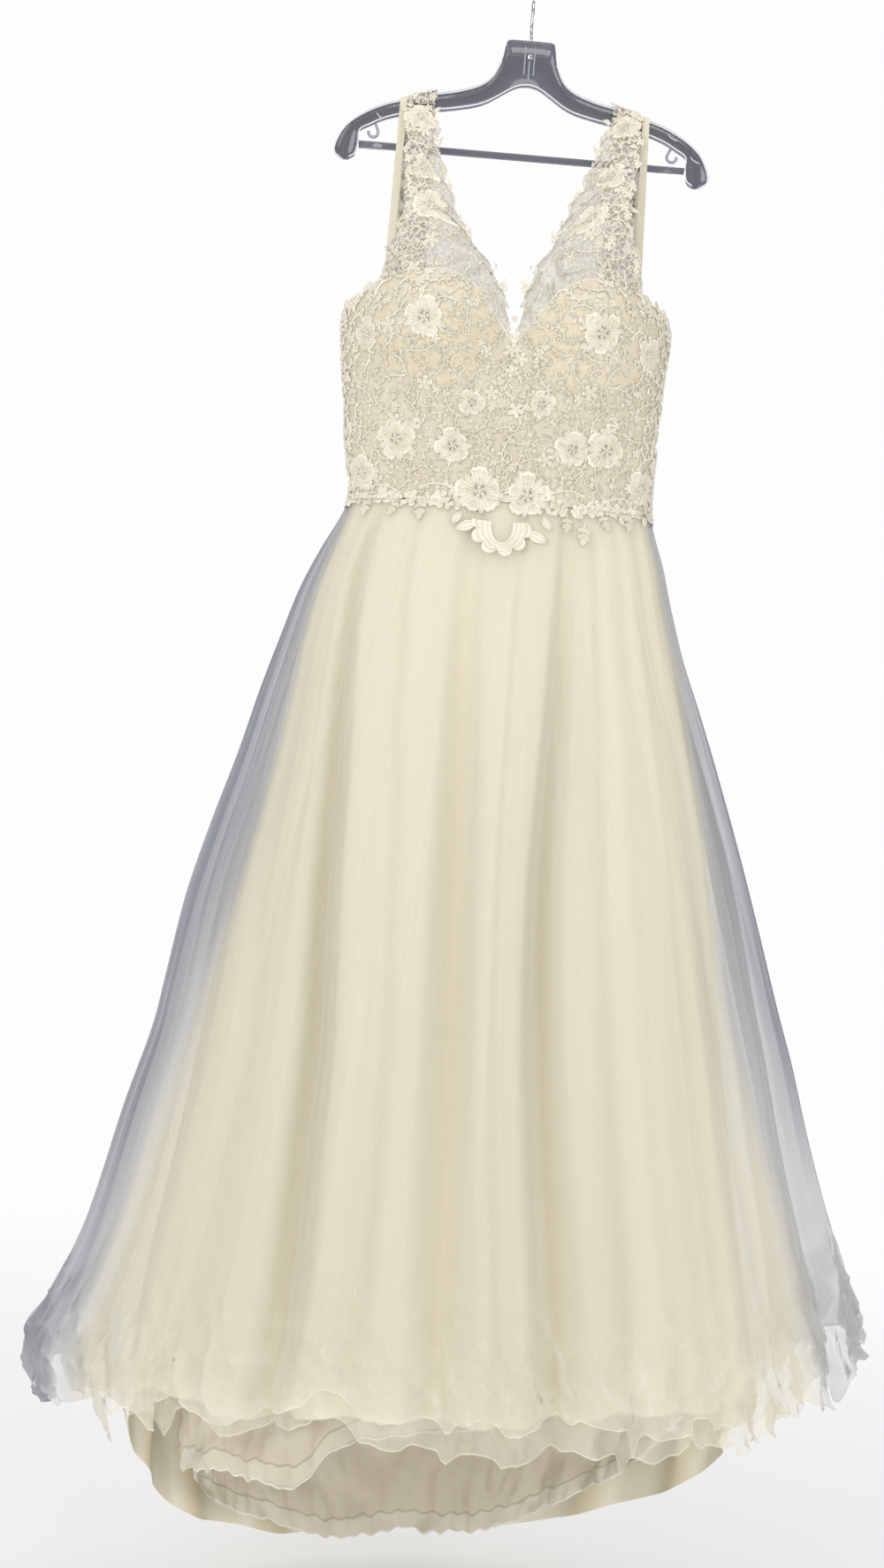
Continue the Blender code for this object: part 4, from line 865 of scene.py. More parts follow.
def back_strap_lines(sign):
    lines = []
    top = (LEFT_STRAP if sign > 0 else RIGHT_STRAP)[0]
    for share in np.linspace(0, 1, 4):
        x_top = sign * mixed(top.outer, top.inner, share)
        turn = np.array(sign * mixed(*BACK_STRAP_FOOT_TURNS, share))
        foot = bodice_point(turn, bodice_edge(turn) - 3 * SEAM_GAP)
        path = [np.array([x_top, y, -drop]) for y, drop in over_the_arm(x_top, STRAP_WALL + SEAM_GAP)]
        path[0] = np.array([x_top, -top.front, -top.drop + 4 * SEAM_GAP])
        start = path[-1]
        for step in range(1, 13):
            s = step / 12
            path.append(mixed(start, foot, np.array([s, s ** 1.15, s])))
        lines.append(path)
    return np.array(lines if sign > 0 else lines[::-1]).transpose(1, 0, 2)


def finer_path(path, count):
    """A path at more points, on a smooth curve through its first ones."""
    at = np.linspace(0, len(path) - 1, count)
    return np.stack([curve(range(len(path)), column, at) for column in np.asarray(path).T], axis=-1)


def finer(grid, rows, columns):
    """A grid of points at more rows and columns, on smooth curves through the first ones."""
    tall = np.stack([finer_path(grid[:, c], rows) for c in range(grid.shape[1])], axis=1)
    return np.stack([finer_path(row, columns) for row in tall])


def grid_shape(grid):
    """(share to the right, share up) to a point of a sheet given by its grid of points."""
    rows, columns = grid.shape[0] - 1, grid.shape[1] - 1

    def surface(right, up):
        c, r = np.clip(right, -0.4, 1.4) * columns, np.clip(1 - up, 0, 1) * rows
        i, j = np.clip(r.astype(int), 0, rows - 1), np.clip(c.astype(int), 0, columns - 1)
        a, b = (r - i)[..., None], (c - j)[..., None]
        near = mixed(grid[i, j], grid[i, j + 1], b)
        return mixed(near, mixed(grid[i + 1, j], grid[i + 1, j + 1], b), a)

    return surface


def lengths_along(points):
    """Distances down and across a grid of points, for a map of true size."""
    down = np.linalg.norm(np.diff(points, axis=0), axis=-1).mean(axis=1)
    across = np.linalg.norm(np.diff(points, axis=1), axis=-1).mean(axis=0)
    v, u = np.concatenate([[0], np.cumsum(down)]), np.concatenate([[0], np.cumsum(across)])
    return np.stack(np.meshgrid(u, v), axis=-1)


def evened(grid, rows):
    """The same sheet with its rows at equal lengths along its middle."""
    middle = grid[:, grid.shape[1] // 2]
    along = np.concatenate([[0], np.cumsum(np.linalg.norm(np.diff(middle, axis=0), axis=-1))])
    at = np.linspace(0, along[-1], rows)
    return np.stack([
        np.stack([np.interp(at, along, grid[:, column, axis]) for axis in range(3)], axis=-1)
        for column in range(grid.shape[1])
    ], axis=1)


BACK_STRAPS = {sign: evened(finer(back_strap_lines(sign), 400, 14), 170) for sign in (1, -1)}


def make_straps():
    right, up = np.meshgrid(np.linspace(0, 1, 40), np.linspace(1, 0, 80))
    for side, sign in (("left", 1), ("right", -1)):
        for end, points in (("front", strap_shape(sign)(right, up)), ("back", BACK_STRAPS[sign])):
            piece = cloth(f"sheer_{end}_strap_{side}", points, STRAP_NET, lengths_along(points))
            dress(piece, "sheer_strap", f"{end}_strap_{side}")


make_straps()


def make_ribbons():
    """Satin loops sewn in at the bodice's sides, which pass over the arms outside the straps."""
    inset = BODICE_WALL + 3 * SEAM_GAP
    bodice_half_depth = 0.095
    for ribbon in RIBBONS:
        lines = []
        x_side, turn_side = math.copysign(1, ribbon.x_top), math.copysign(1, ribbon.foot_turn)
        for edge in (-0.5, 0.0, 0.5):
            x = ribbon.x_top + edge * RIBBON_WIDTH
            path = [np.array([x, y, -drop]) for y, drop in over_the_arm(x, RIBBON_WALL + SEAM_GAP)]
            ends = []
            for turn in (ribbon.foot_turn, 180 * turn_side - ribbon.foot_turn):
                sideways = edge * x_side * math.copysign(1, math.cos(math.radians(turn))) * RIBBON_WIDTH
                place = np.array(turn + turn_side * math.degrees(sideways / bodice_half_depth))
                ends.append([
                    bodice_point(place, drop)
                    - inset * ring_normal(section_at(BODICE, drop), place, BODICE_POWER)
                    for drop in (RIBBON_FOOT, RIBBON_STITCHED)
                ])
            front, back = ends
            down = [mixed(path[-1], back[0], step / 6) for step in range(1, 6)]
            up = [mixed(front[0], path[0], step / 6) for step in range(1, 6)]
            lines.append([front[1], front[0], *up, *path, *down, back[0], back[1]])
        grid = finer(np.array(lines).transpose(1, 0, 2), 260, 7)
        if np.cross(grid[60, 1] - grid[60, 0], grid[61, 0] - grid[60, 0])[1] > 0:
            grid = grid[:, ::-1]
        piece = cloth(f"satin_ribbon_{ribbon.side}", grid, RIBBON_SATIN, lengths_along(grid))
        dress(piece, "satin", f"hanging_ribbon_{ribbon.side}")


make_ribbons()




# Lace: corded flowers, leaves, vines and rings, each a small relief that is laid on a surface

Motif = namedtuple("Motif", "points faces")
Patch = namedtuple("Patch", "u v size bearing flip")


def polar_motif(reach, rings, spokes):
    """A round motif from rings of (share of its reach, height)."""
    angles = np.arange(spokes) * 2 * math.pi / spokes
    rows = [np.array([[0, 0, rings[0][1]]])]
    far = reach(angles)
    for share, height in rings[1:]:
        dip = 0.55 + 0.45 * far / far.max()
        x, y = far * share * np.cos(angles), far * share * np.sin(angles)
        rows.append(np.stack([x, y, height * dip], axis=-1))
    k = np.arange(spokes)
    n = (k + 1) % spokes
    faces = [np.stack([0 * k, 1 + k, 1 + n], axis=-1)]
    for ring in range(len(rings) - 2):
        a, b = 1 + ring * spokes, 1 + (ring + 1) * spokes
        faces += [np.stack([a + k, b + k, b + n], axis=-1), np.stack([a + k, b + n, a + n], axis=-1)]
    return Motif(np.concatenate(rows), np.concatenate(faces))


def strip_motif(rows):
    """A motif from rows of points, each row running from its left edge to its right edge."""
    rows = np.asarray(rows, float)
    count, columns = rows.shape[:2]
    index = np.arange(count * columns).reshape(count, columns)
    a, b, c, d = index[:-1, :-1], index[:-1, 1:], index[1:, 1:], index[1:, :-1]
    faces = [np.stack(corners, axis=-1).reshape(-1, 3) for corners in ((a, b, c), (a, c, d))]
    return Motif(rows.reshape(-1, 3), np.concatenate(faces))


def cord_motif(path, radius):
    """A cord that lies along a path of (x, y)."""
    path = np.asarray(path, float)
    ahead = np.gradient(path, axis=0)
    across = np.stack([ahead[:, 1], -ahead[:, 0]], axis=-1)
    across /= np.maximum(np.linalg.norm(across, axis=-1, keepdims=True), 1e-9)
    rows = [
        np.concatenate([path + across * side * radius, np.full((len(path), 1), level)], axis=-1)
        for side, level in ((-1, 0.0), (-0.4, 1.1), (0.4, 1.1), (1, 0.0))
    ]
    return strip_motif(np.stack(rows, axis=1))


def leaf_motif(width, bend=0.0):
    """A leaf from (0, 0) to (0, 1), with a corded edge and a raised midrib."""
    ribs = ((-1, 0), (-0.78, 1.25), (-0.42, 0.15), (0, 1.0), (0.42, 0.15), (0.78, 1.25), (1, 0))
    rows = []
    for t in np.linspace(0, 1, 6):
        half = width * (math.sin(math.pi * min(1, t * 0.96 + 0.03)) ** 0.75) * (1.15 - 0.45 * t)
        lean = bend * math.sin(math.pi * t)
        rows.append([(lean + share * half, t, height) for share, height in ribs])
    return strip_motif(rows)


def petal_motif(spread, scallops):
    """A petal that opens out from (0, 0) to (0, 1): ribbed net inside a corded, scalloped edge."""
    rows = []
    ribs = (
        (-1, 0), (-0.84, 1.2), (-0.55, 0.1), (-0.28, 0.75), (0, 0.1),
        (0.28, 0.75), (0.55, 0.1), (0.84, 1.2), (1, 0),
    )
    for reach, lift in ((0.10, 0.8), (0.34, 1.0), (0.60, 0.9), (0.80, 0.7), (0.91, None), (1.0, 0.0)):
        half = spread * (0.30 + 0.70 * math.sin(math.pi * (0.10 + 0.62 * reach)))
        row = []
        for share, height in ribs:
            bearing = half * share
            wave = abs(math.cos(scallops * math.pi / 2 * share)) - 0.8
            edge = reach * (1 + (reach > 0.85) * 0.07 * wave)
            edge *= 1 - 0.10 * share * share
            level = (1.25 if abs(share) < 1 else 0) if lift is None else height * lift
            row.append((edge * math.sin(bearing), edge * math.cos(bearing), level))
        rows.append(row)
    return strip_motif(rows)


def arch_motif():
    """Two broad scalloped leaves that curve down to meet, as one U that is 2 wide."""
    ribs = (
        (0, 0), (0.09, 1.2), (0.22, 0.15), (0.36, 0.75), (0.50, 0.15),
        (0.64, 0.75), (0.78, 0.15), (0.90, 1.25), (1, 0),
    )
    rows = []
    for t in np.linspace(0, 1, 45):
        a = math.radians(mixed(172, 368, t))
        scallop = 0.22 * abs(math.sin(5.5 * math.pi * t)) ** 0.7 - 0.10
        row = []
        for share, height in ribs:
            out = scallop * share ** 3
            wide, deep = mixed(0.37, 1.0, share) + out, mixed(0.66, 1.08, share) + out
            row.append((wide * math.cos(a), deep * math.sin(a), height))
        rows.append(row)
    return strip_motif(rows)


def placed(motif, x, y, size, bearing, height=1.0):
    a = math.radians(bearing)
    c, s = math.cos(a), math.sin(a)
    px, py, h = motif.points.T
    turned_x, turned_y = px * c - py * s, px * s + py * c
    return Motif(np.stack([x + size * turned_x, y + size * turned_y, h * height], axis=-1), motif.faces)


def joined(parts):
    points, faces, first = [], [], 0
    for part in parts:
        points.append(part.points)
        faces.append(part.faces + first)
        first += len(part.points)
    return Motif(np.concatenate(points), np.concatenate(faces))


def petals(count, depth):
    def reach(angles):
        return 1 - depth + depth * np.abs(np.cos(count / 2 * angles)) ** 0.6

    return reach


def arc_path(radius, first, last, steps, x=0.0, y=0.0):
    a = np.radians(np.linspace(first, last, steps))
    return np.stack([x + radius * np.cos(a), y + radius * np.sin(a)], axis=-1)


FLOWER_RINGS = ((0, 1.5), (0.14, 1.1), (0.24, 0.1), (0.42, 0.7), (0.66, 0.1), (0.87, 1.3), (1.0, 0.0))
SMALL_RINGS = ((0, 1.5), (0.22, 1.1), (0.42, 0.1), (0.82, 1.25), (1.0, 0.0))
RING_RINGS = ((0, 0.1), (0.36, 0.1), (0.70, 1.3), (1.0, 0.0))


def make_motifs():
    leaf, slim_leaf, curved_leaf = leaf_motif(0.30), leaf_motif(0.20), leaf_motif(0.26, 0.14)
    ring = polar_motif(lambda angles: 1 + 0 * angles, RING_RINGS, 8)
    flower = polar_motif(petals(5, 0.50), FLOWER_RINGS, 30)
    small = polar_motif(petals(5, 0.46), SMALL_RINGS, 20)
    round_flower = polar_motif(petals(6, 0.34), SMALL_RINGS, 24)
    great = []
    petal = petal_motif(math.radians(27), 3)
    for bearing, size in ((8, 1.10), (76, 0.86), (151, 0.98), (214, 0.90), (290, 1.12)):
        great.append(placed(petal, 0, 0, size, bearing))
    for bearing, size in ((42, 0.86), (112, 0.92), (182, 0.80), (252, 0.94), (327, 0.88)):
        a = math.radians(bearing + 90)
        great.append(placed(slim_leaf, 0.25 * math.cos(a), 0.25 * math.sin(a), size, bearing, 1.1))
    for k in range(5):
        a = math.radians(98 + 70 * k)
        great.append(placed(ring, 0.52 * math.cos(a), 0.52 * math.sin(a), 0.085, 0, 1.2))
    great.append(placed(small, 0, 0, 0.24, 10, 1.5))
    stem = np.stack([np.linspace(-1, 0.9, 9), 0.30 * np.sin(np.linspace(-0.4, 2.6, 9)) - 0.1], axis=-1)
    vine = [cord_motif(stem, 0.050)]
    for k, share in enumerate((1, 2, 4, 5, 6, 7)):
        side = 1 if k % 2 else -1
        x, y = stem[share]
        bearing = (-35 if side > 0 else -145) + 6 * k
        vine.append(placed(curved_leaf if k % 3 else leaf, x, y, 0.52 - 0.03 * k, bearing))
    vine.append(placed(ring, *stem[-1], 0.14, 0))
    curl = cord_motif(
        np.concatenate([arc_path(0.9, 200, 20, 8), arc_path(0.42, 20, -250, 9, 0.45, 0.16)]), 0.070
    )
    curl_vine = [curl, placed(leaf, -0.86, -0.25, 0.55, 60), placed(leaf, -0.2, 0.87, 0.60, 30),
                 placed(slim_leaf, 0.6, 0.66, 0.55, -30), placed(ring, 0.42, 0.1, 0.17, 0)]
    spray = [cord_motif([(0, -0.9), (0.03, -0.4), (0, 0), (-0.02, 0.3)], 0.05)]
    leaves = ((0, 0.75, 0.25), (42, 0.65, 0.0), (-42, 0.65, 0.0), (62, 0.60, -0.4), (-62, 0.60, -0.4))
    for bearing, length, y in leaves:
        spray.append(placed(leaf, 0, y, length, bearing))
    return {
        "great flower": joined(great), "flower": flower, "small flower": small,
        "round flower": round_flower, "leaf": leaf, "curved leaf": curved_leaf, "ring": ring,
        "vine": joined(vine), "curl": joined(curl_vine), "spray": joined(spray), "arch": arch_motif(),
    }


MOTIFS = make_motifs()


# How far lace lies off its cloth, and the height of its relief: a base and a share of the motif's size
LACE_LIFT, LACE_BASE, LACE_SHARE = 0.0006, 0.0011, 0.030


def laid_on(surface, motif, patches, steps):
    """Points, faces and cord heights of a motif, once for each patch, bent to lie on a surface."""
    u, v, size, bearing, flip = (np.array(column, float)[:, None] for column in zip(*patches))
    step_u, step_v = steps
    a, b, h = (column[None, :] for column in motif.points.T)
    angle = np.radians(bearing)
    x = (a * flip * np.cos(angle) - b * np.sin(angle)) * size
    y = (a * flip * np.sin(angle) + b * np.cos(angle)) * size
    per_u = np.linalg.norm(surface(u + step_u, v) - surface(u - step_u, v), axis=-1) / (2 * step_u)
    per_v = np.linalg.norm(surface(u, v + step_v) - surface(u, v - step_v), axis=-1) / (2 * step_v)
    across, up = u + x / per_u, v + y / per_v
    right = surface(across + step_u, up) - surface(across - step_u, up)
    above = surface(across, up + step_v) - surface(across, up - step_v)
    outwards = unit(np.cross(right, above))
    count = len(motif.points)
    order = np.arange(len(patches))[:, None]
    height = LACE_LIFT + 0.00009 * (order % 5) + h * (LACE_BASE + LACE_SHARE * size)
    points = surface(across, up) + outwards * height[..., None]
    first = (order * count)[..., None]
    faces = np.where(flip[..., None] > 0, motif.faces[None], motif.faces[None, :, ::-1]) + first
    return points.reshape(-1, 3), faces.reshape(-1, 3), np.tile(motif.points[:, 2], len(patches))


def laid_patches(surface, patches, steps):
    return [laid_on(surface, MOTIFS[motif], some, steps) for motif, some in patches.items() if some]


def relief(name, laid, material):
    """One mesh of all that was laid, with how high each point stands in its motif."""
    points, faces, first = [], [], 0
    for some_points, some_faces, heights in laid:
        points.append(some_points)
        faces.append(some_faces + first)
        first += len(some_points)
    points, faces = np.concatenate(points), np.concatenate(faces)
    mesh = bpy.data.meshes.new(name)
    mesh.vertices.add(len(points))
    mesh.vertices.foreach_set("co", points.astype(np.float32).ravel())
    mesh.loops.add(faces.size)
    mesh.loops.foreach_set("vertex_index", faces.astype(np.int32).ravel())
    mesh.polygons.add(len(faces))
    mesh.polygons.foreach_set("loop_start", np.arange(0, faces.size, 3, dtype=np.int32))
    mesh.update(calc_edges=True)
    cords = np.concatenate([heights for _, _, heights in laid])
    mark = mesh.attributes.new("cord", "FLOAT", "POINT")
    mark.data.foreach_set("value", cords.astype(np.float32))
    return link(name, mesh, material)


def body_arc():
    """Turns from 0 to 180 degrees, and how far round the body each lies."""
    turns = np.linspace(0, 180, 361)
    ring = bodice_point(turns, np.full_like(turns, 0.50))
    steps = np.linalg.norm(np.diff(ring, axis=0), axis=-1)
    return turns, np.concatenate([[0], np.cumsum(steps)])


TURNS, ARCS = body_arc()
Filling = namedtuple("Filling", "motif radius closeness tries")
BODICE_FILLING = table(Filling, [
    ("vine", 0.0150, 0.66, 900), ("curl", 0.0105, 0.66, 1200), ("flower", 0.0088, 0.72, 1800),
    ("spray", 0.0088, 0.68, 2200), ("small flower", 0.0054, 0.74, 3500),
    ("curved leaf", 0.0046, 0.66, 5200), ("ring", 0.0023, 0.74, 7000),
])
# A leaf is held by its stalk and not by its middle
FROM_STALK = ("leaf", "curved leaf")


def scattered(draw, taken, filling, low, high, inside):
    found = []
    for x, y in draw.uniform(low, high, (filling.tries, 2)):
        if not inside(x, y, filling.radius):
            continue
        near = np.array(taken)
        apart = filling.closeness * (filling.radius + near[:, 2])
        if np.all((near[:, 0] - x) ** 2 + (near[:, 1] - y) ** 2 > apart ** 2):
            taken.append((x, y, filling.radius))
            found.append((x, y, draw.uniform(0, 360), draw.uniform(0.9, 1.15)))
    return found


# Where a motif lies: a turn and a drop on the bodice, shares to the right and up on a strap
Spot = namedtuple("Spot", "motif turn drop size bearing")


def add_spot(patches, spot, flip):
    size = spot.size * (2.0 if spot.motif in FROM_STALK else 1.0)
    patches[spot.motif].append(Patch(spot.turn, spot.drop, size, spot.bearing, flip))


def fill(patches, draw, taken, fillings, low, high, inside, place, flip, turned=1):
    """Adds small motifs wherever there is room between those that are there already."""
    for filling in fillings:
        for x, y, bearing, grown in scattered(draw, taken, filling, low, high, inside):
            spot = Spot(filling.motif, *place(x, y), filling.radius * grown, turned * bearing)
            add_spot(patches, spot, flip)




# The lace whose places are listed: where the large flowers, sprays and the arch below the waist lie
FRONT_SPOTS = table(Spot, [
    ("arch", -0.2, 0.6155, 0.0325, 0), ("great flower", -9.2, 0.578, 0.0275, 12),
    ("great flower", 8.4, 0.580, 0.0265, -8), ("great flower", -43.0, 0.522, 0.0235, 80),
    ("great flower", 41.0, 0.522, 0.0240, 120), ("great flower", -19.5, 0.528, 0.0210, 25),
    ("great flower", 25.5, 0.524, 0.0205, 60), ("great flower", -31.0, 0.390, 0.0240, 0),
    ("great flower", 33.0, 0.396, 0.0240, 30), ("great flower", -66.0, 0.560, 0.0200, 0),
    ("great flower", 66.0, 0.560, 0.0200, 20), ("great flower", -58.0, 0.404, 0.0200, 15),
    ("great flower", 60.0, 0.410, 0.0200, 45), ("great flower", -13.0, 0.478, 0.0160, 50),
    ("great flower", 12.0, 0.476, 0.0160, 5), ("vine", 24.0, 0.575, 0.0230, -6),
    ("vine", -25.0, 0.575, 0.0230, 6), ("vine", 50.0, 0.578, 0.0200, -4),
    ("vine", -52.0, 0.578, 0.0200, 4), ("flower", 21.0, 0.592, 0.0110, 15),
    ("flower", -24.0, 0.589, 0.0110, 30), ("round flower", 29.0, 0.594, 0.0090, 0),
    ("flower", 36.0, 0.590, 0.0115, 40), ("flower", -36.0, 0.589, 0.0115, 35),
    ("flower", -51.0, 0.588, 0.0115, 0), ("flower", 49.0, 0.589, 0.0115, 20),
    ("spray", 24.0, 0.609, 0.0125, 175), ("spray", 30.5, 0.620, 0.0165, 168),
    ("spray", -31.0, 0.601, 0.0150, 190), ("spray", 41.0, 0.603, 0.0130, 200),
    ("spray", 55.0, 0.601, 0.0130, 170), ("spray", -43.0, 0.600, 0.0130, 160),
    ("spray", -59.0, 0.599, 0.0130, 185), ("leaf", -9.4, 0.6145, 0.0120, 112),
    ("leaf", 9.0, 0.6225, 0.0125, -118), ("leaf", -15.0, 0.603, 0.0090, 150),
    ("leaf", 14.6, 0.604, 0.0090, -150), ("small flower", 0.0, 0.440, 0.0080, 0),
    ("spray", -3.0, 0.456, 0.0120, 30), ("spray", 4.0, 0.470, 0.0110, -20),
    ("small flower", -9.0, 0.420, 0.0075, 10), ("small flower", 9.5, 0.420, 0.0075, 30),
    ("vine", -0.5, 0.530, 0.0190, 84),
])
BACK_SPOTS = table(Spot, [
    ("great flower", 163.0, 0.560, 0.0220, 0), ("great flower", -163.0, 0.560, 0.0220, 30),
    ("great flower", 138.0, 0.540, 0.0230, 20), ("great flower", -138.0, 0.540, 0.0230, 60),
    ("great flower", 112.0, 0.500, 0.0210, 40), ("great flower", -112.0, 0.500, 0.0210, 10),
    ("great flower", 142.0, 0.415, 0.0190, 0), ("great flower", -142.0, 0.415, 0.0190, 30),
    ("spray", 150.0, 0.605, 0.0130, 180), ("spray", -150.0, 0.605, 0.0130, 170),
    ("spray", 120.0, 0.602, 0.0130, 185), ("spray", -120.0, 0.602, 0.0130, 175),
    ("flower", 170.0, 0.592, 0.0105, 0), ("flower", -170.0, 0.592, 0.0105, 20),
])


EDGE_SIZES = {"small flower": 0.0072, "flower": 0.0098, "curved leaf": 0.0070}
WAIST_SIZES = {
    "small flower": 0.0070, "flower": 0.0100, "round flower": 0.0080, "spray": 0.0105,
    "curved leaf": 0.0065,
}
# The bodice's middle radius, by which a length along its edge is made a turn
MIDDLE_RADIUS = 0.125


def edge_spots(draw):
    """Flowers and leaves along the bodice's upper edge and its waist."""
    spots = []
    for sign in (1, -1):
        turn = 58.0
        while turn < 180:
            edge = float(bodice_edge(np.array(sign * turn)))
            name = draw.choice(list(EDGE_SIZES))
            size = EDGE_SIZES[name]
            bearing = draw.uniform(-60, 60) if name == "curved leaf" else draw.uniform(0, 72)
            spots.append(Spot(name, sign * turn, edge + size * 0.45, size, bearing))
            turn += math.degrees(size * 1.25 / MIDDLE_RADIUS)
        turn = 12.0
        while turn < 176:
            name = draw.choice(list(WAIST_SIZES))
            size = WAIST_SIZES[name]
            hangs = name in ("spray", "curved leaf")
            bearing = 180 + draw.uniform(-35, 35) if hangs else draw.uniform(0, 72)
            spots.append(Spot(name, sign * turn, WAIST - 0.003 + draw.uniform(0, 0.007), size, bearing))
            turn += math.degrees(size * (1.0 if turn < 70 else 1.3) / MIDDLE_RADIUS)
    return spots


def make_bodice_lace():
    draw = np.random.default_rng(41)
    patches = {name: [] for name in MOTIFS}
    taken = []
    for spot in FRONT_SPOTS + BACK_SPOTS + edge_spots(draw):
        flip = 1 if spot.turn > 0 else -1
        add_spot(patches, spot._replace(drop=-spot.drop), flip)
        taken.append((float(np.interp(abs(spot.turn), TURNS, ARCS)), spot.drop, spot.size * 0.85, flip))
    for sign in (1, -1):
        side = [(x, y, r) for x, y, r, flip in taken if flip == sign]

        def turn_at(x):
            return sign * float(np.interp(x, ARCS, TURNS))

        def inside(x, y, radius):
            edge = float(bodice_edge(np.array(turn_at(x))))
            return y > edge + radius * 0.7 and x < ARCS[-1] - 0.011 - radius * 0.5

        def place(x, y):
            return turn_at(x), -y

        low, high = (0.001, 0.332), (ARCS[-1], WAIST - 0.001)
        seed = np.random.default_rng(52)
        fill(patches, seed, side, BODICE_FILLING, low, high, inside, place, sign, sign)
    sides = ("left", "right")
    front = ("flower_waist", "spray_waist", "flower_side", "flower_body", "leaves_body", "leaves_cup")
    for name, first, last, nodes in (
        ("front", 0, 90, ["lace_arch"] + [f"lace_{what}_{side}" for what in front for side in sides]),
        ("back", 90, 181, [f"lace_flower_back_{side}" for side in sides]),
    ):
        here = {motif: [p for p in some if first <= abs(p.u) < last] for motif, some in patches.items()}
        piece = relief(f"bodice_lace_{name}", laid_patches(garment_shape, here, (0.25, 0.002)), LACE)
        dress(piece, "lace", *nodes)


make_bodice_lace()


STRAP_FILLING = table(Filling, [
    ("vine", 0.0140, 0.72, 500), ("curl", 0.0098, 0.72, 600), ("flower", 0.0080, 0.76, 700),
    ("spray", 0.0082, 0.74, 800), ("small flower", 0.0052, 0.80, 1000),
    ("curved leaf", 0.0044, 0.76, 1500), ("ring", 0.0023, 0.90, 1600),
])
STRAP_SPOTS = {
    1: table(Spot, [
        ("great flower", 0.40, 0.36, 0.0230, 20), ("great flower", 0.50, 0.62, 0.0180, 50),
        ("great flower", 0.52, 0.93, 0.0155, 0),
    ]),
    -1: table(Spot, [
        ("great flower", 0.52, 0.36, 0.0230, 0), ("great flower", 0.48, 0.60, 0.0180, 30),
        ("great flower", 0.46, 0.92, 0.0155, 15),
    ]),
}
# Along the neckline: each motif, its size and how far it reaches past the edge, as a share of the width
NECK_SPRIGS = (
    ("small flower", 0.0072, 0.02), ("curved leaf", 0.0062, -0.02), ("ring", 0.0032, 0.045),
    ("flower", 0.0084, -0.02), ("curved leaf", 0.0062, -0.02), ("spray", 0.0085, -0.02),
)
ARM_SPRIGS = {"small flower": 0.0058, "curved leaf": 0.0052, "ring": 0.0027}
FRONT_STRAP_TALL, BACK_STRAP_TALL, BACK_STRAP_WIDE = 0.205, 0.29, 0.034


def strap_edge_spots(draw, sign):
    """Sprigs that reach past the neckline, and leaves along the strap's outer edge."""
    inner, outer, past = (0.0, 1.0, -1) if sign > 0 else (1.0, 0.0, 1)
    spots, up, k = [], 0.015, 0
    while up < 0.97:
        name, size, out = NECK_SPRIGS[k % len(NECK_SPRIGS)]
        leans = name in ("curved leaf", "spray")
        bearing = -past * draw.uniform(35, 95) if leans else draw.uniform(0, 72)
        spots.append(Spot(name, inner + past * out, up, size, bearing))
        up += size * 1.05 / FRONT_STRAP_TALL
        k += 1
    up = 0.02
    while up < 0.98:
        name = draw.choice(list(ARM_SPRIGS))
        size = ARM_SPRIGS[name]
        spots.append(Spot(name, outer + past * 0.045, up, size, draw.uniform(0, 360)))
        up += size * 1.6 / FRONT_STRAP_TALL
    return spots


def make_strap_lace():
    for side, sign in (("left", 1), ("right", -1)):
        draw = np.random.default_rng(7 + sign)
        shape = strap_shape(sign)
        patches, taken = {name: [] for name in MOTIFS}, []

        def width(up):
            ends = shape(np.array([0.0, 1.0]), np.full(2, up))
            return float(np.linalg.norm(ends[1] - ends[0]))

        def inside(x, y, radius):
            return abs(x) + radius * 0.7 < width(y / FRONT_STRAP_TALL) / 2

        def place(x, y):
            up = y / FRONT_STRAP_TALL
            return 0.5 + x / width(up), up

        def inside_back(x, y, radius):
            return abs(x) + radius * 0.6 < BACK_STRAP_WIDE / 2

        def place_back(x, y):
            return 0.5 + x / BACK_STRAP_WIDE, y / BACK_STRAP_TALL

        for spot in STRAP_SPOTS[sign] + strap_edge_spots(draw, sign):
            add_spot(patches, spot, sign)
            x = (spot.turn - 0.5) * width(spot.drop)
            taken.append((x, spot.drop * FRONT_STRAP_TALL, spot.size * 0.85))
        low, high = (-0.07, 0.002), (0.07, FRONT_STRAP_TALL)
        fill(patches, draw, taken, STRAP_FILLING, low, high, inside, place, sign)
        laid = laid_patches(shape, patches, (0.01, 0.01))
        patches, taken = {name: [] for name in MOTIFS}, [(9, 9, 0.01)]
        low, high = (-0.02, 0.004), (0.02, BACK_STRAP_TALL - 0.003)
        fill(patches, draw, taken, STRAP_FILLING[1:], low, high, inside_back, place_back, sign)
        laid += laid_patches(grid_shape(BACK_STRAPS[sign]), patches, (0.03, 0.006))
        dress(relief(f"strap_lace_{side}", laid, LACE), "lace", f"lace_flower_strap_{side}")


make_strap_lace()


# The hanger: arms with rounded rims and a thin web, a bar, curled strap hooks, a nut and a wire hook

BAR_DOWN, BAR_HALF_LENGTH, BAR_HALF_HEIGHT, BAR_HALF_THICK = 0.1355, 0.1898, 0.004, 0.0035


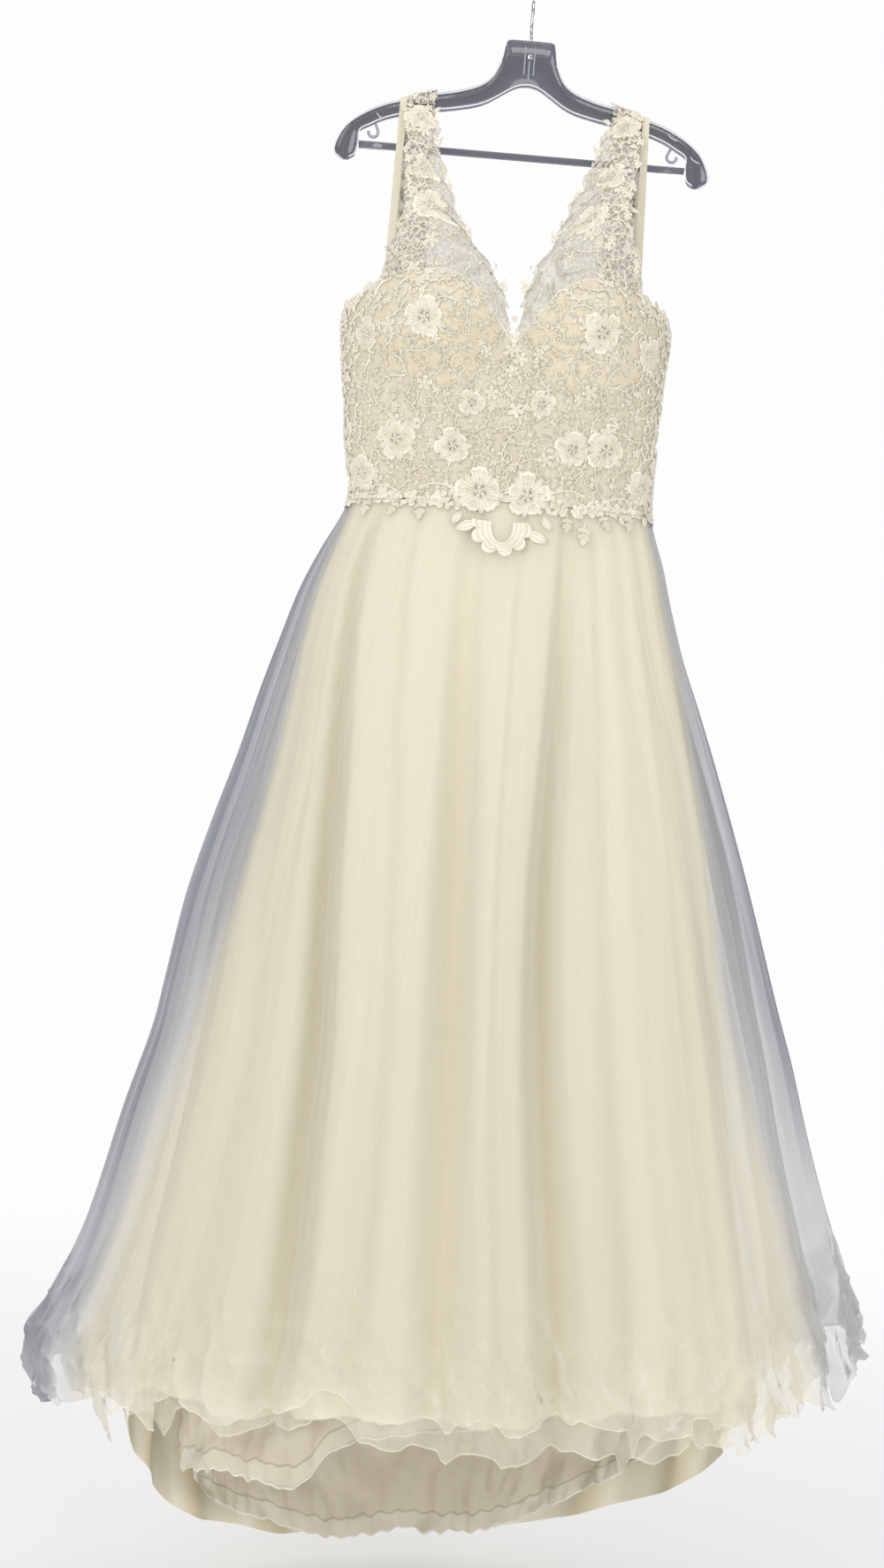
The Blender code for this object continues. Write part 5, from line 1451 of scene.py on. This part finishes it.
def closed_sweep(name, sections, material, marks=None):
    """A closed shell through rings of points, drawn in to a point at each end."""
    sections = np.asarray(sections)
    first, last = (np.repeat(ring.mean(axis=0)[None], len(ring), axis=0) for ring in sections[[0, -1]])
    grid = np.concatenate([first[None], sections, last[None]])
    grid = np.concatenate([grid, grid[:, :1]], axis=1)
    values = {}
    for label, value in (marks or {}).items():
        values[label] = np.broadcast_to(np.append(value, value[0])[None, :], grid.shape[:2])
    piece = cloth(name, grid, material, lengths_along(grid), values)
    bm = bmesh.new()
    bm.from_mesh(piece.data)
    bmesh.ops.remove_doubles(bm, verts=bm.verts, dist=1e-6)
    bmesh.ops.recalc_face_normals(bm, faces=bm.faces)
    bm.to_mesh(piece.data)
    bm.free()
    piece.data.shade_smooth()
    return piece


def rod(name, path, radius, material, sides=14, steps=6):
    """A round rod along a smooth path through points."""
    fine = finer_path(path, len(path) * steps)
    along = unit(np.gradient(fine, axis=0))
    flat = np.abs(along[:, 0]).max() < 1e-6
    side = np.tile(np.array([1.0, 0, 0]) if flat else np.array([0, 1.0, 0]), (len(fine), 1))
    other = unit(np.cross(along, side))
    angles = np.linspace(0, 2 * math.pi, sides, endpoint=False)[None, :, None]
    rings = fine[:, None] + radius * (np.cos(angles) * side[:, None] + np.sin(angles) * other[:, None])
    return closed_sweep(name, rings, material)


HALF = np.array(HANGER_HALF)
MIRROR = np.array([-1, 1, -1, 1])
WHOLE = np.concatenate([HALF[:0:-1] * MIRROR, HALF])


def make_arms():
    thick, web = HANGER_THICK / 2, HANGER_WEB / 2
    # Round the rim: how far in from the edge, the share of the half thickness, and how much it is rim,
    # which sets its painted highlight
    rim = [
        (0.0005, -0.85, 1), (0.0, -0.5, 1), (0.0, 0.5, 1), (0.0005, 0.85, 1), (0.0013, 1.0, 1),
        (0.0022, 0.9, 0.8),
    ]
    sections, marks = [], None
    for top_x, top_down, low_x, low_down in finer_path(WHOLE, 210):
        top, low = np.array([top_x, top_down]), np.array([low_x, low_down])
        height = np.linalg.norm(low - top)
        grown = min(1.0, height * 0.3 / HANGER_RIM)
        inner = grown * HANGER_RIM / height
        profile = [(grown * d / height, y * thick, m) for d, y, m in rim]
        profile += [(inner, web, 0.25), (0.5, web, 0), (1 - inner, web, 0.25)]
        profile += [(1 - grown * d / height, y * thick, m) for d, y, m in reversed(rim)]
        profile += [(1 - inner, -web, 0.25), (0.5, -web, 0), (inner, -web, 0.25)]
        places = [(mixed(top, low, share), y) for share, y, m in profile]
        sections.append([on_hanger(place[0], y, place[1]) for place, y in places])
        marks = np.array([m for share, y, m in profile])
    return closed_sweep("hanger_body", sections, PLASTIC, {"rim": marks})


def make_bar():
    corner = 0.0012
    profile = []
    for a in np.radians(np.arange(0, 360, 15) + 7.5):
        y, down = math.cos(a), math.sin(a)
        flat_y, flat_down = BAR_HALF_THICK - corner, BAR_HALF_HEIGHT - corner
        profile.append((
            math.copysign(flat_y, y) + corner * y, math.copysign(flat_down, down) + corner * down
        ))
    rings = [
        [on_hanger(x, y, BAR_DOWN + down) for y, down in profile]
        for x in np.linspace(-BAR_HALF_LENGTH, BAR_HALF_LENGTH, 12)
    ]
    # The bar takes part of the rims' painted highlight.
    return closed_sweep("hanger_rail", rings, PLASTIC, {"rim": np.full(len(profile), 0.45)})


def make_curled_hook(side, sign):
    stem_x, middle_x, middle_down, radius = 0.1719, 0.1742, 0.1202, 0.0056
    points = [on_hanger(sign * stem_x, 0, 0.1112)]
    for step in range(9):
        a = math.radians(200 - 26 * step)
        x, down = middle_x + radius * math.cos(a), middle_down + radius * math.sin(a)
        points.append(on_hanger(sign * x, 0, down))
    return rod(f"curled_hook_{side}", points, 0.0018, BRIGHT_PLASTIC, 12, 4)


def make_wire_hook():
    wire, bow = 0.00175, 0.01875
    centre = bow - wire
    points = [(0, 0, -NECK_TOP + SEAM_GAP), (0, 0, -0.0405), (0, 0.0007, -0.0378), (0, 0.0028, -0.0358)]
    for step in range(18):
        a = math.radians(-68 + 15 * step)
        points.append((0, bow * math.cos(a), -(centre - bow * math.sin(a))))
    return rod("hook_wire", points, wire, CHROME)


def make_hanger():
    dress(make_arms(), "clear_plastic", "hanger_arms")
    dress(make_bar(), "clear_plastic", "hanger_bar")
    for side, sign in (("left", 1), ("right", -1)):
        dress(make_curled_hook(side, sign), "clear_plastic", f"strap_hook_{side}")
    dress(make_wire_hook(), "hook_metal", "wire_hook")


def make_neck_details():
    """The nut on the hook's shank, ribs at the neck, and painted highlights: pale lines along the rims
    and glints on the web.
    """
    angles = np.radians(np.arange(0, 360, 60))
    nut = [
        [(0.0042 * math.cos(a) * grown, -0.0030 + 0.0012 * math.sin(a), -0.0600 - down) for a in angles]
        for down, grown in ((0, 0.85), (0.0008, 1), (0.0042, 1), (0.005, 0.85))
    ]
    dress(closed_sweep("hook_nut", nut, CHROME), "hook_metal")
    ribs = []
    for k, (x, first_down, last_down, radius) in enumerate((
        (-0.0055, 0.006, 0.040, 0.0009), (0.0055, 0.006, 0.040, 0.0009), (0.0, 0.022, 0.050, 0.0010),
    )):
        ends = [on_hanger(x, -0.0022, down) for down in np.linspace(first_down, last_down, 4)]
        ribs.append(rod(f"neck_rib_{k + 1}", ends, radius, BRIGHT_PLASTIC, 10, 2))
    arms = HALF[HALF[:, 0] > 0.03]
    front = -HANGER_THICK / 2 - 0.0001
    # Painted highlights: pale rods along the rims.
    for name, rows, column, inwards in (
        ("rim_line_left", arms, 0, 0.0022), ("rim_line_right", arms * MIRROR, 0, 0.0022),
        ("rim_line_low", WHOLE, 2, -0.0022),
    ):
        edge = [on_hanger(row[column], front, row[column + 1] + inwards) for row in rows]
        ribs.append(rod(name, edge, 0.0010, HIGHLIGHT_PLASTIC, 6, 4))
    # Painted reflections: short pale rods on the web.
    web_front = front + 0.0038
    places = ((-0.172, 0.098), (-0.118, 0.084), (0.120, 0.086), (0.168, 0.094), (0.196, 0.118))
    for k, (x, down) in enumerate(places):
        bends = ((0, 0), (0.004, 0.004), (0.011, 0.007))
        glint = [on_hanger(x + shift, web_front, down + fall) for shift, fall in bends]
        ribs.append(rod(f"web_glint_{k + 1}", glint, 0.0007, HIGHLIGHT_PLASTIC, 6, 3))
    for rib in ribs:
        dress(rib, "clear_plastic")


make_hanger()
make_neck_details()


# The back closure: a satin placket with nine covered buttons

def make_closure():
    half_width, top, bottom = 0.009, 0.458, WAIST - 0.001
    spread = math.degrees(half_width / 0.19)
    turn, drop = np.meshgrid(np.linspace(180 - spread, 180 + spread, 14), np.linspace(top, bottom, 60))
    outwards = np.array([0.0, 1.0, 0.0])
    proud = 0.0018 - 0.0008 * np.abs((turn - 180) / spread) ** 6
    points = bodice_point(turn, drop) + outwards * proud[..., None]
    dress(cloth("satin_placket", points, RIBBON_SATIN, lengths_along(points)), "satin", "back_placket")
    count, radius, swell = 9, 0.0048, 0.52
    rings = [(0, 1.0), (0.35, 0.95), (0.7, 0.72), (0.92, 0.38), (1.0, 0.0), (0.93, -0.35)]
    dome = polar_motif(lambda angles: 1 + 0 * angles, rings, 24)
    x, z, y = (dome.points * radius).T
    button = np.stack([-x, np.maximum(y, -0.001) * swell, z], axis=-1)
    buttons = []
    for k in range(count):
        drop = mixed(top + 0.007, bottom - 0.019, k / (count - 1))
        middle = bodice_point(np.array(180.0), np.array(drop)) + np.array([0, 0.0034, 0])
        buttons.append((button + middle, dome.faces, np.ones(len(button))))
    domes = relief("covered_buttons", buttons, RIBBON_SATIN)
    dress(domes, "satin", *(f"button_{k:02d}" for k in range(1, count + 1)))


make_closure()


# The studio

AMBIENT, BACKDROP = (0.50, 0.50, 0.51, 1), (0.985, 0.985, 0.988, 1)


def make_studio():
    world = bpy.data.worlds.new("studio")
    bpy.context.scene.world = world
    world.use_nodes = True
    m = Nodes(world.node_tree)
    seen = m.add("LightPath").outputs["Is Camera Ray"]
    m.feed(m.tree.nodes["Background"].inputs["Color"], m.mix(seen, AMBIENT, BACKDROP))
    mesh = bpy.data.meshes.new("floor")
    reach = 40
    corners = [(x * reach, y * reach, -FLOOR_DROP) for x, y in ((-1, -1), (1, -1), (1, 1), (-1, 1))]
    mesh.from_pydata(corners, [], [(0, 1, 2, 3)])
    m = Look("pale floor")
    m.finished(Base_Color=(0.93, 0.93, 0.93, 1), Roughness=0.9)
    glow = m.add("Emission", {"Color": BACKDROP}).outputs[0]
    length = m.add("VectorMath", {0: m.object_place()}, operation="LENGTH").outputs["Value"]
    blend = m.add("MixShader", {0: m.remap(length, 1.9, 3.2, 0.35, 1), 1: m.shader.outputs[0], 2: glow})
    m.feed(m.tree.nodes["Material Output"].inputs["Surface"], blend.outputs[0])
    link("floor", mesh, m.made)


def make_lamps():
    Lamp = namedtuple("Lamp", "name place aim size power")
    lamps = table(Lamp, [
        ("key light", (-2.3, -3.2, 0.7), (0, 0, -1.0), 2.0, 42),
        ("fill light", (2.6, -2.9, -0.5), (0, 0, -1.1), 2.2, 24),
        ("low light", (-0.3, -3.9, -1.6), (0, 0, -1.6), 1.6, 25),
        ("top light", (-0.1, -0.8, 2.4), (0, 0, -0.6), 1.8, 24),
        ("back light", (0.5, 3.4, 0.2), (0, 0, -1.0), 2.4, 36),
    ])
    for lamp in lamps:
        data = bpy.data.lights.new(lamp.name, "AREA")
        data.shape = "DISK"
        data.size = lamp.size
        data.energy = lamp.power
        made = bpy.data.objects.new(lamp.name, data)
        bpy.context.scene.collection.objects.link(made)
        made.location = lamp.place
        made.rotation_euler = (Vector(lamp.aim) - Vector(lamp.place)).to_track_quat("-Z", "Y").to_euler()


make_studio()
make_lamps()
bpy.context.scene.view_settings.view_transform = "Standard"


# How each piece of cloth was cut before it was sewn: width, length and flat area

Cut = namedtuple("Cut", "width length area held rests_on")
BODICE_BACKS = ["bodice_back_left_cloth", "bodice_back_right_cloth"]
BACK_WAIST, FRONT_WAIST, HANGER = BODICE_BACKS[:1], ["bodice_front_cloth"], ["hanger_body"]
FRONT_STRAPS = ["sheer_front_strap_left", "sheer_front_strap_right"]
CUTS = {
    "outer_tulle_front": Cut(1.50, 1.06, 0.98, "gathered", ["second_tulle_front"] + FRONT_WAIST),
    "outer_tulle_back": Cut(1.55, 1.25, 1.14, "gathered", ["second_tulle_back"] + BACK_WAIST),
    "second_tulle_front": Cut(1.42, 1.06, 0.95, "gathered", ["satin_skirt_front"] + FRONT_WAIST),
    "second_tulle_back": Cut(1.46, 1.23, 1.07, "gathered", ["satin_skirt_back"] + BACK_WAIST),
    "satin_skirt_front": Cut(1.22, 1.11, 0.84, "hung", FRONT_WAIST),
    "satin_skirt_back": Cut(1.36, 1.30, 1.07, "hung", BACK_WAIST),
    "skirt_lining_front": Cut(1.06, 1.14, 0.62, "hung", FRONT_WAIST),
    "skirt_lining_back": Cut(1.14, 1.28, 0.77, "hung", BACK_WAIST),
    "bodice_front_cloth": Cut(0.115, 0.242, 0.0235, "hung", FRONT_STRAPS),
    "cup_panel_left_cloth": Cut(0.128, 0.266, 0.0290, "hung", ["sheer_front_strap_left"]),
    "cup_panel_right_cloth": Cut(0.138, 0.266, 0.0318, "hung", ["sheer_front_strap_right"]),
    "side_left_cloth": Cut(0.100, 0.234, 0.0193, "hung", ["satin_ribbon_left"]),
    "side_right_cloth": Cut(0.100, 0.234, 0.0196, "hung", ["satin_ribbon_right"]),
    "bodice_back_left_cloth": Cut(0.158, 0.246, 0.0315, "hung", ["sheer_back_strap_left"]),
    "bodice_back_right_cloth": Cut(0.168, 0.246, 0.0340, "hung", ["sheer_back_strap_right"]),
    "sheer_front_strap_left": Cut(0.118, 0.236, 0.0166, "hung", HANGER),
    "sheer_front_strap_right": Cut(0.108, 0.236, 0.0143, "hung", HANGER),
    "sheer_back_strap_left": Cut(0.035, 0.300, 0.0100, "hung", HANGER),
    "sheer_back_strap_right": Cut(0.036, 0.300, 0.0104, "hung", HANGER),
    "satin_ribbon_left": Cut(0.010, 0.906, 0.0077, "hung", HANGER),
    "satin_ribbon_right": Cut(0.010, 0.930, 0.0079, "hung", HANGER),
    "satin_placket": Cut(0.018, 0.131, 0.0022, "laid", BODICE_BACKS),
}


def declare_cuts():
    for name, cut in CUTS.items():
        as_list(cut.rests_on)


declare_cuts()
